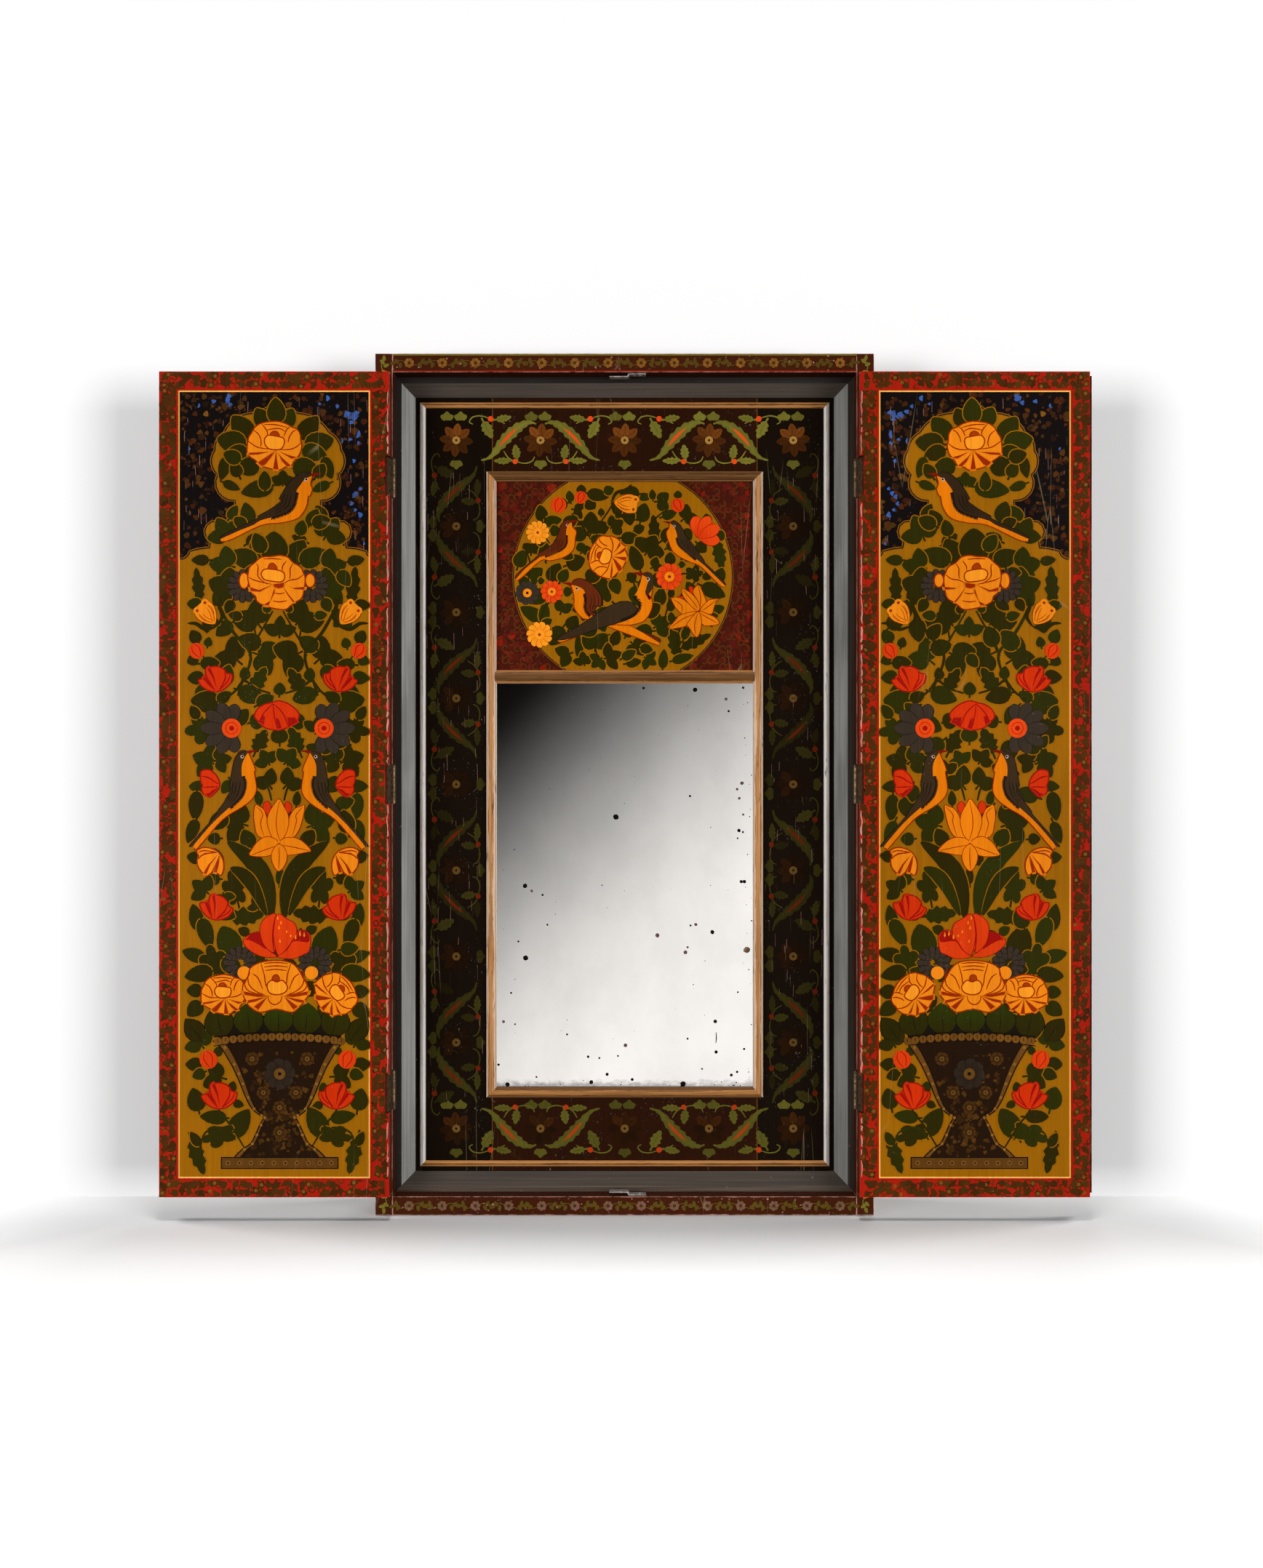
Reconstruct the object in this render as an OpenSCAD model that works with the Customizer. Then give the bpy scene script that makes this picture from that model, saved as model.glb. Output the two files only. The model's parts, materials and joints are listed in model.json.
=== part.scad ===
// Lacquered wooden wall or table mirror in a shallow case with a pair of hinged doors.
// Millimetres, +Z up, front towards -Y, origin at the centre of the case's underside.
// The doors are drawn folded right back, beside the case and parallel to its front.

/* [Case] */
// Outside width of the case
case_w = 405; // [350:1:480]
// Outside height of the case
case_h = 700; // [620:1:820]
// Depth of the case boards, front to back
case_d = 62; // [56:1:90]
// Thickness of the two side boards
side_t = 14; // [12:0.5:20]
// Thickness of the top and bottom boards
end_t = 15; // [11:0.5:22]
// Thickness of the back planks
back_t = 8; // [5:0.5:12]
// Gap between two back planks
plank_gap = 0.6; // [0.2:0.1:2]
// Width of the battens that carry the panel and the back planks
batten_w = 20; // [14:1:30]

/* [Doors] */
// Thickness of a door board
door_t = 15; // [12:0.5:20]
// Gap above and below a closed door
end_gap = 4; // [3.6:0.1:8]
// Gap between the two closed doors
meeting_gap = 4; // [2:0.5:5]
// Gap between a closed door and the ledge behind it
stop_gap = 2.5; // [1:0.5:5]
// Width of the meeting strip on the right door
strip_w = 16; // [12:0.5:24]
// Thickness of the meeting strip
strip_t = 5; // [3:0.5:8]
// How far the meeting strip stands out past the right door's edge
strip_reach = 5.5; // [5.2:0.1:9]
// Gap between the meeting strip and the closed left door
strip_clear = 0.4; // [0.2:0.1:1]

/* [Hinges] */
// Height of a hinge
hinge_h = 31; // [24:1:48]
// From the end of a door to the middle of the nearest hinge
hinge_inset = 83; // [50:1:140]
// Width of a hinge leaf in the wood
leaf_w = 11.5; // [8:0.5:12]
// Thickness of a hinge leaf
leaf_t = 1; // [0.8:0.1:1.2]
// Lean of the door leaf in its tapered mortise, in degrees
leaf_lean = 8; // [0:1:12]
// Radius of a hinge pin
pin_r = 1.1; // [0.8:0.1:1.4]
// Wall of a hinge knuckle around its bore
knuckle_wall = 0.85; // [0.7:0.05:1.2]
// Running clearance between a pin and a knuckle, on the radius
pin_clear = 0.05; // [0.02:0.01:0.1]
// Gap between two knuckles along the pin
knuckle_gap = 0.2; // [0.1:0.05:0.4]
// Height of the flat head at the upper end of a pin
pin_head_h = 0.8; // [0.5:0.1:2]

/* [Nails] */
// Radius of the small nails in hinges and keepers
nail_r = 0.7; // [0.5:0.1:1]
// Radius of a small nail's head
nail_head_r = 1.5; // [1.2:0.1:2]
// Height of a small nail's head
nail_head_h = 0.5; // [0.3:0.1:0.6]
// Length of a small nail under its head
nail_len = 9; // [6:0.5:10]
// From the end of a hinge leaf to the nearest nail
nail_end = 4.6; // [3:0.1:7]
// Radius of the nails in the back planks
back_nail_r = 1.1; // [0.8:0.1:1.6]
// Radius of the flush head of a back nail
back_head_r = 2.4; // [2:0.1:4]
// Length of a back nail
back_nail_len = 20; // [14:1:24]
// Clearance around every nail in its hole
nail_clear = 0.05; // [0.02:0.01:0.1]

/* [Ledge and bevel] */
// Width of the flat ledge that the closed doors stand against
ledge_w = 5; // [3:0.5:9]
// Width of the painted bevel inside the ledge
bevel_w = 10.5; // [6:0.5:16]
// Depth that the bevel falls over its width
bevel_drop = 6; // [3:0.5:12]
// Height of the bevel's inner edge above the panel
bevel_edge = 2.5; // [1:0.5:5]

/* [Panel] */
// Thickness of the panel's stiles and rails
panel_t = 10; // [7:0.5:14]
// Width of the flat between the bevel and the bead
fillet_w = 3.6; // [2:0.2:8]
// Width of the half-round bead around the panel
bead_w = 4.8; // [3:0.2:8]
// Height of the bead above the panel
bead_h = 3.4; // [2.4:0.2:6]

/* [Mirror and picture] */
// Width of the mirror between its mouldings
mirror_w = 212; // [150:1:240]
// Height of the mirror between its mouldings
mirror_h = 334; // [240:1:350]
// Height of the painted picture between its mouldings
picture_h = 156; // [100:1:170]
// Width of the moulding around mirror and picture
frame_w = 8.2; // [6:0.2:14]
// Height of that moulding above the panel
frame_h = 6.8; // [5.6:0.2:7.6]
// Width of the crossbar between mirror and picture
bar_w = 10.8; // [8:0.2:16]
// Height of the crossbar above the panel
bar_h = 5; // [4:0.2:5.4]
// Width of the small step along each side of a moulding
step_w = 1.2; // [0.6:0.1:1.6]
// Height of that step
step_h = 2.4; // [1:0.2:2.8]
// Cover of the moulding over the edges of glass and picture
cover = 3; // [2:0.5:3.5]
// Gap around the edges of glass and picture
glass_gap = 0.5; // [0.2:0.1:0.8]
// Thickness of the mirror glass
glass_t = 3; // [2:0.5:5]
// Width of a cleat behind the mirror
cleat_w = 30; // [20:1:50]
// Thickness of a cleat
cleat_t = 8; // [5:0.5:9]
// Length of a cleat past the side of the opening
cleat_lap = 24; // [12:1:40]

/* [Keepers] */
// Length of a keeper's nailed foot
keeper_foot = 14.4; // [10:0.2:20]
// Length of a keeper's raised tongue
keeper_tongue = 15.4; // [8:0.2:24]
// Clear height under the tongue
keeper_rise = 2.2; // [1.4:0.1:2.3]
// Thickness of a keeper's metal
keeper_t = 0.8; // [0.6:0.1:1]
// Width of a keeper, front to back
keeper_w = 8; // [6:0.5:10]
// Gap between the case's front and a keeper
keeper_back = 4; // [2:0.5:5]
// Where the keepers' bend lies, right of the middle
keeper_x = 3; // [0:0.5:8]

/* [Hidden] */
$fn = 48;
slack = 1;                                       // how far a cutter passes what it cuts
open_w = case_w - 2 * side_t;
open_h = case_h - 2 * end_t;
mid_z = case_h / 2;
front_y = -case_d / 2;
ledge_y = front_y + door_t + stop_gap;
panel_y = ledge_y + bevel_drop + bevel_edge;
panel_back_y = panel_y + panel_t;
plank_y = case_d / 2 - back_t;

knuckle_r = pin_r + pin_clear + knuckle_wall;
edge_off = knuckle_r - leaf_t;                   // from the pin's axis to the edge of the door
pin_x = -open_w / 2 + edge_off;
pin_y = front_y - knuckle_r;
door_w = open_w / 2 - 2 * edge_off - meeting_gap / 2;
door_h = open_h - 2 * end_gap;
door_y = front_y - 2 * knuckle_r - door_t;       // painted face of an opened door
hinge_step = door_h / 2 - hinge_inset;
hinge_zs = [mid_z - hinge_step, mid_z, mid_z + hinge_step];
knuckles = 5;
knuckle_h = hinge_h / knuckles;

frame_in_h = mirror_h + bar_w + picture_h;
hole_w = mirror_w + 2 * (cover + glass_gap);
hole_h = frame_in_h + 2 * (cover + glass_gap);
stile_w = (open_w - hole_w) / 2;
rail_h = (open_h - hole_h) / 2;
frame_y = panel_y;
mirror_z = mid_z - frame_in_h / 2;               // lower sight edge of the mirror
bar_z = mirror_z + mirror_h;
picture_z = bar_z + bar_w;
bead_off = ledge_w + bevel_w + fillet_w;
plank_h = (open_h - 2 * plank_gap) / 3;

lacquer = [0.26, 0.11, 0.08];
door_red = [0.62, 0.12, 0.08];
blue_grey = [0.40, 0.42, 0.42];
gilt = [0.62, 0.47, 0.24];
dark_lacquer = [0.11, 0.07, 0.04];
picture_ochre = [0.60, 0.43, 0.12];
silvered = [0.80, 0.81, 0.82];
bare_wood = [0.50, 0.36, 0.23];
brass = [0.72, 0.56, 0.28];
iron = [0.30, 0.27, 0.25];

// A box from its lowest corner
module block(at, size) translate(at) cube(size);

module on_right() mirror([1, 0, 0]) children();

// Extrudes a profile of (depth, inward) points along X, centred
module run(len) rotate([90, 0, 90]) linear_extrude(len, center = true) children();

// One member of a mitred rectangle: outer length len, face width w, inward is +Z
module mitred_run(len, w) intersection() {
    run(len) children();
    rotate([90, 0, 0]) linear_extrude(2 * case_d, center = true)
        polygon([[-len / 2, 0], [len / 2, 0], [len / 2 - w, w], [w - len / 2, w]]);
}

module frame_bottom(fw, fh, w) translate([0, 0, mid_z - fh / 2]) mitred_run(fw, w) children();
module frame_top(fw, fh, w)
    translate([0, 0, mid_z + fh / 2]) mirror([0, 0, 1]) mitred_run(fw, w) children();
module frame_left(fw, fh, w)
    translate([-fw / 2, 0, mid_z]) rotate([0, 90, 0]) mitred_run(fh, w) children();
module frame_right(fw, fh, w) on_right() frame_left(fw, fh, w) children();

// Cross-sections, in depth from the front and distance inward from the outer edge
module bevel_section() polygon([
    [ledge_y, 0], [ledge_y, ledge_w], [ledge_y + bevel_drop, ledge_w + bevel_w],
    [panel_y, ledge_w + bevel_w], [panel_y, 0],
]);

// A round of radius r on a straight neck, h proud of the plane at base_y and cut off there
module round_section(base_y, mid, r, h) intersection() {
    union() {
        translate([base_y - h + r, mid]) circle(r);
        translate([base_y - h + r, mid - r]) square([h, 2 * r]);
    }
    translate([base_y - 2 * h, mid - 2 * r]) square([2 * h, 4 * r]);
}

module bead_section() round_section(panel_y, bead_w / 2, bead_w / 2, bead_h);

// A rounded moulding with a small step along both sides
module moulding_section(w, h, base_y) union() {
    round_section(base_y, w / 2, w / 2 - step_w, h);
    translate([base_y - step_h, 0]) square([step_h, w]);
}

// A nail that points along +X, with the underside of its low domed head at x = 0
module nail(extra = 0) {
    rotate([0, 90, 0]) cylinder(h = nail_len + extra, r = nail_r + extra);
    rotate([0, -90, 0]) cylinder(h = nail_head_h + extra, r1 = nail_head_r + extra, r2 = nail_head_r * 0.7);
}

// The part of a nail that stands in wood or metal, a little larger than the nail
module nail_hole()
    translate([-slack, 0, 0]) rotate([0, 90, 0])
        cylinder(h = nail_len + slack + nail_clear, r = nail_r + nail_clear);

// Hinge shapes stand on the pin's axis, with the leaf's back at x = knuckle_r and its wood along +Y
module leaf_nail_places()
    for (z = [nail_end, hinge_h - nail_end])
        translate([edge_off, knuckle_r + leaf_w / 2, z - hinge_h / 2]) children();

module leaf(first) difference() {
    union() {
        translate([edge_off, knuckle_r, -hinge_h / 2]) cube([leaf_t, leaf_w, hinge_h]);
        for (i = [first:2:knuckles - 1])
            translate([0, 0, i * knuckle_h - hinge_h / 2 + knuckle_gap / 2]) {
                cylinder(h = knuckle_h - knuckle_gap, r = knuckle_r);
                translate([edge_off, 0, 0]) cube([leaf_t, knuckle_r + slack / 2, knuckle_h - knuckle_gap]);
            }
    }
    translate([0, 0, -hinge_h]) cylinder(h = 2 * hinge_h, r = pin_r + pin_clear);
    leaf_nail_places() nail_hole();
}

module pin() {
    translate([0, 0, -hinge_h / 2]) cylinder(h = hinge_h, r = pin_r);
    translate([0, 0, hinge_h / 2]) cylinder(h = pin_head_h, r = knuckle_r);
}

// What a straight leaf and its nails take out of the wood behind them
module leaf_mortise() {
    translate([-slack, knuckle_r - slack, -hinge_h / 2])
        cube([knuckle_r + slack, leaf_w + slack, hinge_h]);
    leaf_nail_places() nail_hole();
}

// The door's tapered mortise: a wedge from the door's edge to the back of the leaning leaf
module door_mortise() {
    reach = 2 * (knuckle_r + door_t);
    translate([0, 0, -hinge_h / 2]) linear_extrude(hinge_h) polygon([
        [-slack, -slack],
        [knuckle_r / cos(leaf_lean) - slack * tan(leaf_lean), -slack],
        [knuckle_r / cos(leaf_lean) + reach * tan(leaf_lean), reach],
        [-slack, reach],
    ]);
    rotate([0, 0, -leaf_lean]) leaf_nail_places() nail_hole();
}

module at_left_pin(z) translate([pin_x, pin_y, z]) children();
module as_case_leaf(z) at_left_pin(z) mirror([1, 0, 0]) children();
module as_door_leaf(z) at_left_pin(z) rotate([0, 0, 180 - leaf_lean]) children();

// Case boards
module left_side() color(lacquer) difference() {
    block([-case_w / 2, front_y, 0], [side_t, case_d, case_h]);
    for (z = hinge_zs) as_case_leaf(z) leaf_mortise();
}
module case_left_side() left_side();
module case_right_side() on_right() left_side();
module case_top() color(lacquer) difference() {
    block([-open_w / 2, front_y, case_h - end_t], [open_w, case_d, end_t]);
    keeper_nail_places(true) nail_hole();
}
module case_bottom() color(lacquer) difference() {
    block([-open_w / 2, front_y, 0], [open_w, case_d, end_t]);
    keeper_nail_places(false) nail_hole();
}

// Back planks, nailed to a batten at each side
module back_nail_places()
    for (x = [-1, 1] * (open_w - batten_w) / 2, i = [0:2], k = [-1, 1])
        translate([x, case_d / 2, end_t + i * (plank_h + plank_gap) + plank_h / 2 + k * plank_h / 3])
            rotate([90, 0, 0]) children();
module back_nail(extra = 0) {
    head_h = back_head_r - back_nail_r;
    cylinder(h = head_h, r1 = back_head_r + extra, r2 = back_nail_r + extra);
    cylinder(h = back_nail_len + extra, r = back_nail_r + extra);
}
module back_plank(i) color(bare_wood) difference() {
    block([-open_w / 2, plank_y, end_t + i * (plank_h + plank_gap)], [open_w, back_t, plank_h]);
    back_nail_places() back_nail(nail_clear);
}
module back_plank_lower() back_plank(0);
module back_plank_middle() back_plank(1);
module back_plank_upper() back_plank(2);
module back_nails() color(iron) back_nail_places() back_nail();
module batten_left() color(bare_wood) difference() {
    block([-open_w / 2, panel_back_y, end_t], [batten_w, plank_y - panel_back_y, open_h]);
    back_nail_places() back_nail(nail_clear);
}
module batten_right() on_right() batten_left();

// Ledge and bevel, mitred at the corners
module bevel(side) color(blue_grey) {
    w = ledge_w + bevel_w;
    if (side == "left") frame_left(open_w, open_h, w) bevel_section();
    if (side == "right") frame_right(open_w, open_h, w) bevel_section();
    if (side == "top") frame_top(open_w, open_h, w) bevel_section();
    if (side == "bottom") frame_bottom(open_w, open_h, w) bevel_section();
}
module bevel_left() bevel("left");
module bevel_right() bevel("right");
module bevel_top() bevel("top");
module bevel_bottom() bevel("bottom");

// Half-round bead on the panel, mitred at the corners
module bead(side) color(gilt) {
    w = open_w - 2 * bead_off;
    h = open_h - 2 * bead_off;
    if (side == "left") frame_left(w, h, bead_w) bead_section();
    if (side == "right") frame_right(w, h, bead_w) bead_section();
    if (side == "top") frame_top(w, h, bead_w) bead_section();
    if (side == "bottom") frame_bottom(w, h, bead_w) bead_section();
}
module bead_left() bead("left");
module bead_right() bead("right");
module bead_top() bead("top");
module bead_bottom() bead("bottom");

// Panel of two stiles and two rails around the opening for mirror and picture
module panel_left_stile() color(dark_lacquer)
    block([-open_w / 2, panel_y, end_t], [stile_w, panel_t, open_h]);
module panel_right_stile() on_right() panel_left_stile();
module panel_bottom_rail() color(dark_lacquer)
    block([-hole_w / 2, panel_y, end_t], [hole_w, panel_t, rail_h]);
module panel_top_rail() color(dark_lacquer)
    block([-hole_w / 2, panel_y, case_h - end_t - rail_h], [hole_w, panel_t, rail_h]);

// Gilt moulding around mirror and picture, with a crossbar coped to its sides
module mirror_frame(side) color(gilt) {
    w = mirror_w + 2 * frame_w;
    h = frame_in_h + 2 * frame_w;
    if (side == "left") frame_left(w, h, frame_w) moulding_section(frame_w, frame_h, frame_y);
    if (side == "right") frame_right(w, h, frame_w) moulding_section(frame_w, frame_h, frame_y);
    if (side == "top") frame_top(w, h, frame_w) moulding_section(frame_w, frame_h, frame_y);
    if (side == "bottom") frame_bottom(w, h, frame_w) moulding_section(frame_w, frame_h, frame_y);
}
module mirror_frame_left() mirror_frame("left");
module mirror_frame_right() mirror_frame("right");
module mirror_frame_top() mirror_frame("top");
module mirror_frame_bottom() mirror_frame("bottom");
module mirror_crossbar() color(gilt) difference() {
    translate([0, 0, bar_z]) run(mirror_w + frame_w) moulding_section(bar_w, bar_h, frame_y);
    for (m = [0, 1]) mirror([m, 0, 0])
        translate([-mirror_w / 2 - frame_w, 0, bar_z + bar_w / 2]) rotate([0, 90, 0]) run(3 * bar_w) {
            moulding_section(frame_w, frame_h, frame_y);
            translate([frame_y - slack, 0]) square([2 * slack, frame_w]);
        }
}

// Picture, glass, packing and cleats, from the front to the back
module bird_picture() color(picture_ochre)
    block([-mirror_w / 2 - cover, panel_y, picture_z - cover],
        [mirror_w + 2 * cover, panel_t, picture_h + 2 * cover]);
module mirror_glass() color(silvered)
    block([-mirror_w / 2 - cover, panel_y, mirror_z - cover],
        [mirror_w + 2 * cover, glass_t, mirror_h + 2 * cover]);
module mirror_backing() color(bare_wood)
    block([-mirror_w / 2 - cover, panel_y + glass_t, mirror_z - cover],
        [mirror_w + 2 * cover, panel_t - glass_t, mirror_h + 2 * cover]);
module cleat(z) color(bare_wood)
    block([-hole_w / 2 - cleat_lap, panel_back_y, z - cleat_w / 2],
        [hole_w + 2 * cleat_lap, cleat_t, cleat_w]);
module cleat_lower() cleat(mirror_z + cleat_w);
module cleat_middle() cleat(bar_z + bar_w / 2);
module cleat_upper() cleat(picture_z + picture_h - cleat_w);

// Bent metal keepers on the top and bottom boards, each with a raised tongue
module keeper_place(up) translate([keeper_x, front_y + keeper_back, up ? case_h - end_t : end_t])
    mirror([0, 0, up ? 1 : 0]) children();
module keeper_nail_places(up) keeper_place(up)
    for (k = [1, 2]) translate([k * keeper_foot / 3, keeper_w / 2, keeper_t]) rotate([0, 90, 0]) children();
module keeper(up, tint) color(tint) difference() {
    keeper_place(up) translate([0, keeper_w, 0]) rotate([90, 0, 0]) linear_extrude(keeper_w) polygon([
        [keeper_foot, 0], [keeper_foot, keeper_t], [keeper_t, keeper_t],
        [0, keeper_rise + keeper_t], [-keeper_tongue, keeper_rise + keeper_t],
        [-keeper_tongue, keeper_rise], [-keeper_t, keeper_rise], [0, 0],
    ]);
    keeper_nail_places(up) nail_hole();
}
module top_keeper() keeper(true, iron);
module bottom_keeper() keeper(false, brass);
module keeper_nails() color(iron) for (up = [true, false]) keeper_nail_places(up) nail();

// Hinges
module left_case_leaf(i) color(brass) as_case_leaf(hinge_zs[i]) leaf(0);
module left_case_leaf_lower() left_case_leaf(0);
module left_case_leaf_middle() left_case_leaf(1);
module left_case_leaf_upper() left_case_leaf(2);
module right_case_leaf_lower() on_right() left_case_leaf(0);
module right_case_leaf_middle() on_right() left_case_leaf(1);
module right_case_leaf_upper() on_right() left_case_leaf(2);
module left_hinge_pins() color(iron) for (z = hinge_zs) at_left_pin(z) pin();
module right_hinge_pins() on_right() left_hinge_pins();
module left_case_leaf_nails() color(iron) for (z = hinge_zs) as_case_leaf(z) leaf_nail_places() nail();
module right_case_leaf_nails() on_right() left_case_leaf_nails();
module left_door_leaf(i) color(brass) as_door_leaf(hinge_zs[i]) leaf(1);
module left_door_leaf_lower() left_door_leaf(0);
module left_door_leaf_middle() left_door_leaf(1);
module left_door_leaf_upper() left_door_leaf(2);
module right_door_leaf_lower() on_right() left_door_leaf(0);
module right_door_leaf_middle() on_right() left_door_leaf(1);
module right_door_leaf_upper() on_right() left_door_leaf(2);
module left_door_leaf_nails() color(iron) for (z = hinge_zs) as_door_leaf(z) leaf_nail_places() nail();
module right_door_leaf_nails() on_right() left_door_leaf_nails();

// Doors
module left_board() color(door_red) difference() {
    block([pin_x - edge_off - door_w, door_y, mid_z - door_h / 2], [door_w, door_t, door_h]);
    for (z = hinge_zs) at_left_pin(z) rotate([0, 0, 180]) door_mortise();
}
module left_door_board() left_board();
module right_door_board() on_right() left_board();

// Rounded strip on the right door's outer face, thinner where it laps the left door
module meeting_strip() color(lacquer) {
    free_x = edge_off + door_w - pin_x;
    translate([free_x + strip_reach - strip_w, door_y + door_t, mid_z - door_h / 2])
        linear_extrude(door_h) difference() {
            intersection() {
                square([strip_w, strip_t]);
                translate([strip_w / 2, strip_t - strip_w]) circle(strip_w);
            }
            translate([strip_w - strip_reach, -slack]) square([strip_reach + slack, slack + strip_clear]);
        }
}

case_left_side();
case_right_side();
case_top();
case_bottom();
back_plank_lower();
back_plank_middle();
back_plank_upper();
back_nails();
batten_left();
batten_right();
bevel_left();
bevel_right();
bevel_top();
bevel_bottom();
bead_left();
bead_right();
bead_top();
bead_bottom();
panel_left_stile();
panel_right_stile();
panel_top_rail();
panel_bottom_rail();
mirror_frame_left();
mirror_frame_right();
mirror_frame_top();
mirror_frame_bottom();
mirror_crossbar();
bird_picture();
mirror_glass();
mirror_backing();
cleat_lower();
cleat_middle();
cleat_upper();
top_keeper();
bottom_keeper();
keeper_nails();
left_case_leaf_lower();
left_case_leaf_middle();
left_case_leaf_upper();
right_case_leaf_lower();
right_case_leaf_middle();
right_case_leaf_upper();
left_hinge_pins();
right_hinge_pins();
left_case_leaf_nails();
right_case_leaf_nails();
left_door_board();
left_door_leaf_lower();
left_door_leaf_middle();
left_door_leaf_upper();
left_door_leaf_nails();
right_door_board();
right_door_leaf_lower();
right_door_leaf_middle();
right_door_leaf_upper();
right_door_leaf_nails();
meeting_strip();
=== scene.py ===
"""Looks of a lacquered mirror case: painted doors, panel and picture, gilt mouldings and old mirror."""
import json
import math
import random

import bmesh
import bpy
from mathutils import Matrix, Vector


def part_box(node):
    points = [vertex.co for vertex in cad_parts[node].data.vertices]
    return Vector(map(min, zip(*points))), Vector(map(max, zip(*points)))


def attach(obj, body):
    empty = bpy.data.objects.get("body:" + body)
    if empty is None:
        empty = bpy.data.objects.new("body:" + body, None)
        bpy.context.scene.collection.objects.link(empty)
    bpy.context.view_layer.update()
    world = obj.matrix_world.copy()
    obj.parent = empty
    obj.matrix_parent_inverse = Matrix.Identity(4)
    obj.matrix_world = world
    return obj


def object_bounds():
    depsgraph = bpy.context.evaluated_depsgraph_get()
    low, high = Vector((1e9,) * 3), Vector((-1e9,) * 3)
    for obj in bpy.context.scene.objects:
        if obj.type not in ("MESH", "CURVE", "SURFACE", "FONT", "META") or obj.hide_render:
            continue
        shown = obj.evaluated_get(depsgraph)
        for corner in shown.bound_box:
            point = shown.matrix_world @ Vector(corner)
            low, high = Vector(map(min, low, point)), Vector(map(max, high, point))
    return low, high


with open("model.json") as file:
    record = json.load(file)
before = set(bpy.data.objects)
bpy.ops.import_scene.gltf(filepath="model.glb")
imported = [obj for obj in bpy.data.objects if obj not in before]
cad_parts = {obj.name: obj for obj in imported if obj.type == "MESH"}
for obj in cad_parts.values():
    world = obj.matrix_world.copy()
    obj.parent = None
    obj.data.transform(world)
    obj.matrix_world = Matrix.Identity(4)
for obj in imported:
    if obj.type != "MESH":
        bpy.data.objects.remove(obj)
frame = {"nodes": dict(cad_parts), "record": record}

CAD_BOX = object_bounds()

bl_info = {
    "name": "Painted mirror case",
    "version": (1, 0, 0),
    "blender": (4, 5, 0),
    "location": "3D View > Sidebar > Mirror case",
    "description": "Paints the doors, panel and picture of a lacquered mirror case and finishes its boards",
    "category": "Object",
}

MM = 0.001
FILM = 0.04  # thickness of one film of paint, in millimetres
STROKE = 0.003  # how much higher a stroke lies than the strokes it crosses, in millimetres
FULL_SHEET = 2500  # points after which strokes are set aside, to keep the work quick
# Heights at which layers of paint start over their board, in millimetres
GROUND_LIFT, PANEL_LIFT = 0.01, 0.02
DOOR_LEAVES_LIFT, DOOR_URN_LIFT, DOOR_FLOWERS_LIFT, DOOR_BIRDS_LIFT = 0.14, 0.41, 0.43, 0.68
PICTURE_LEAVES_LIFT, PICTURE_FLOWERS_LIFT, PICTURE_BIRDS_LIFT = 0.16, 0.36, 0.54
SEED = 1870
WHITE = (1.0, 1.0, 1.0, 1.0)
SOOT = (0.004, 0.003, 0.003, 1.0)


# What a user would change

def pigment(name, description, red, green, blue):
    """A colour property, written as it looks on a screen."""
    return bpy.props.FloatVectorProperty(
        name=name, description=description, subtype="COLOR_GAMMA", size=3, min=0, max=1,
        default=(red / 255, green / 255, blue / 255))


def size(name, description, default):
    """A length property in metres, given in millimetres."""
    return bpy.props.FloatProperty(
        name=name, description=description, default=default * MM, min=0, subtype="DISTANCE", unit="LENGTH")


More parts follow.
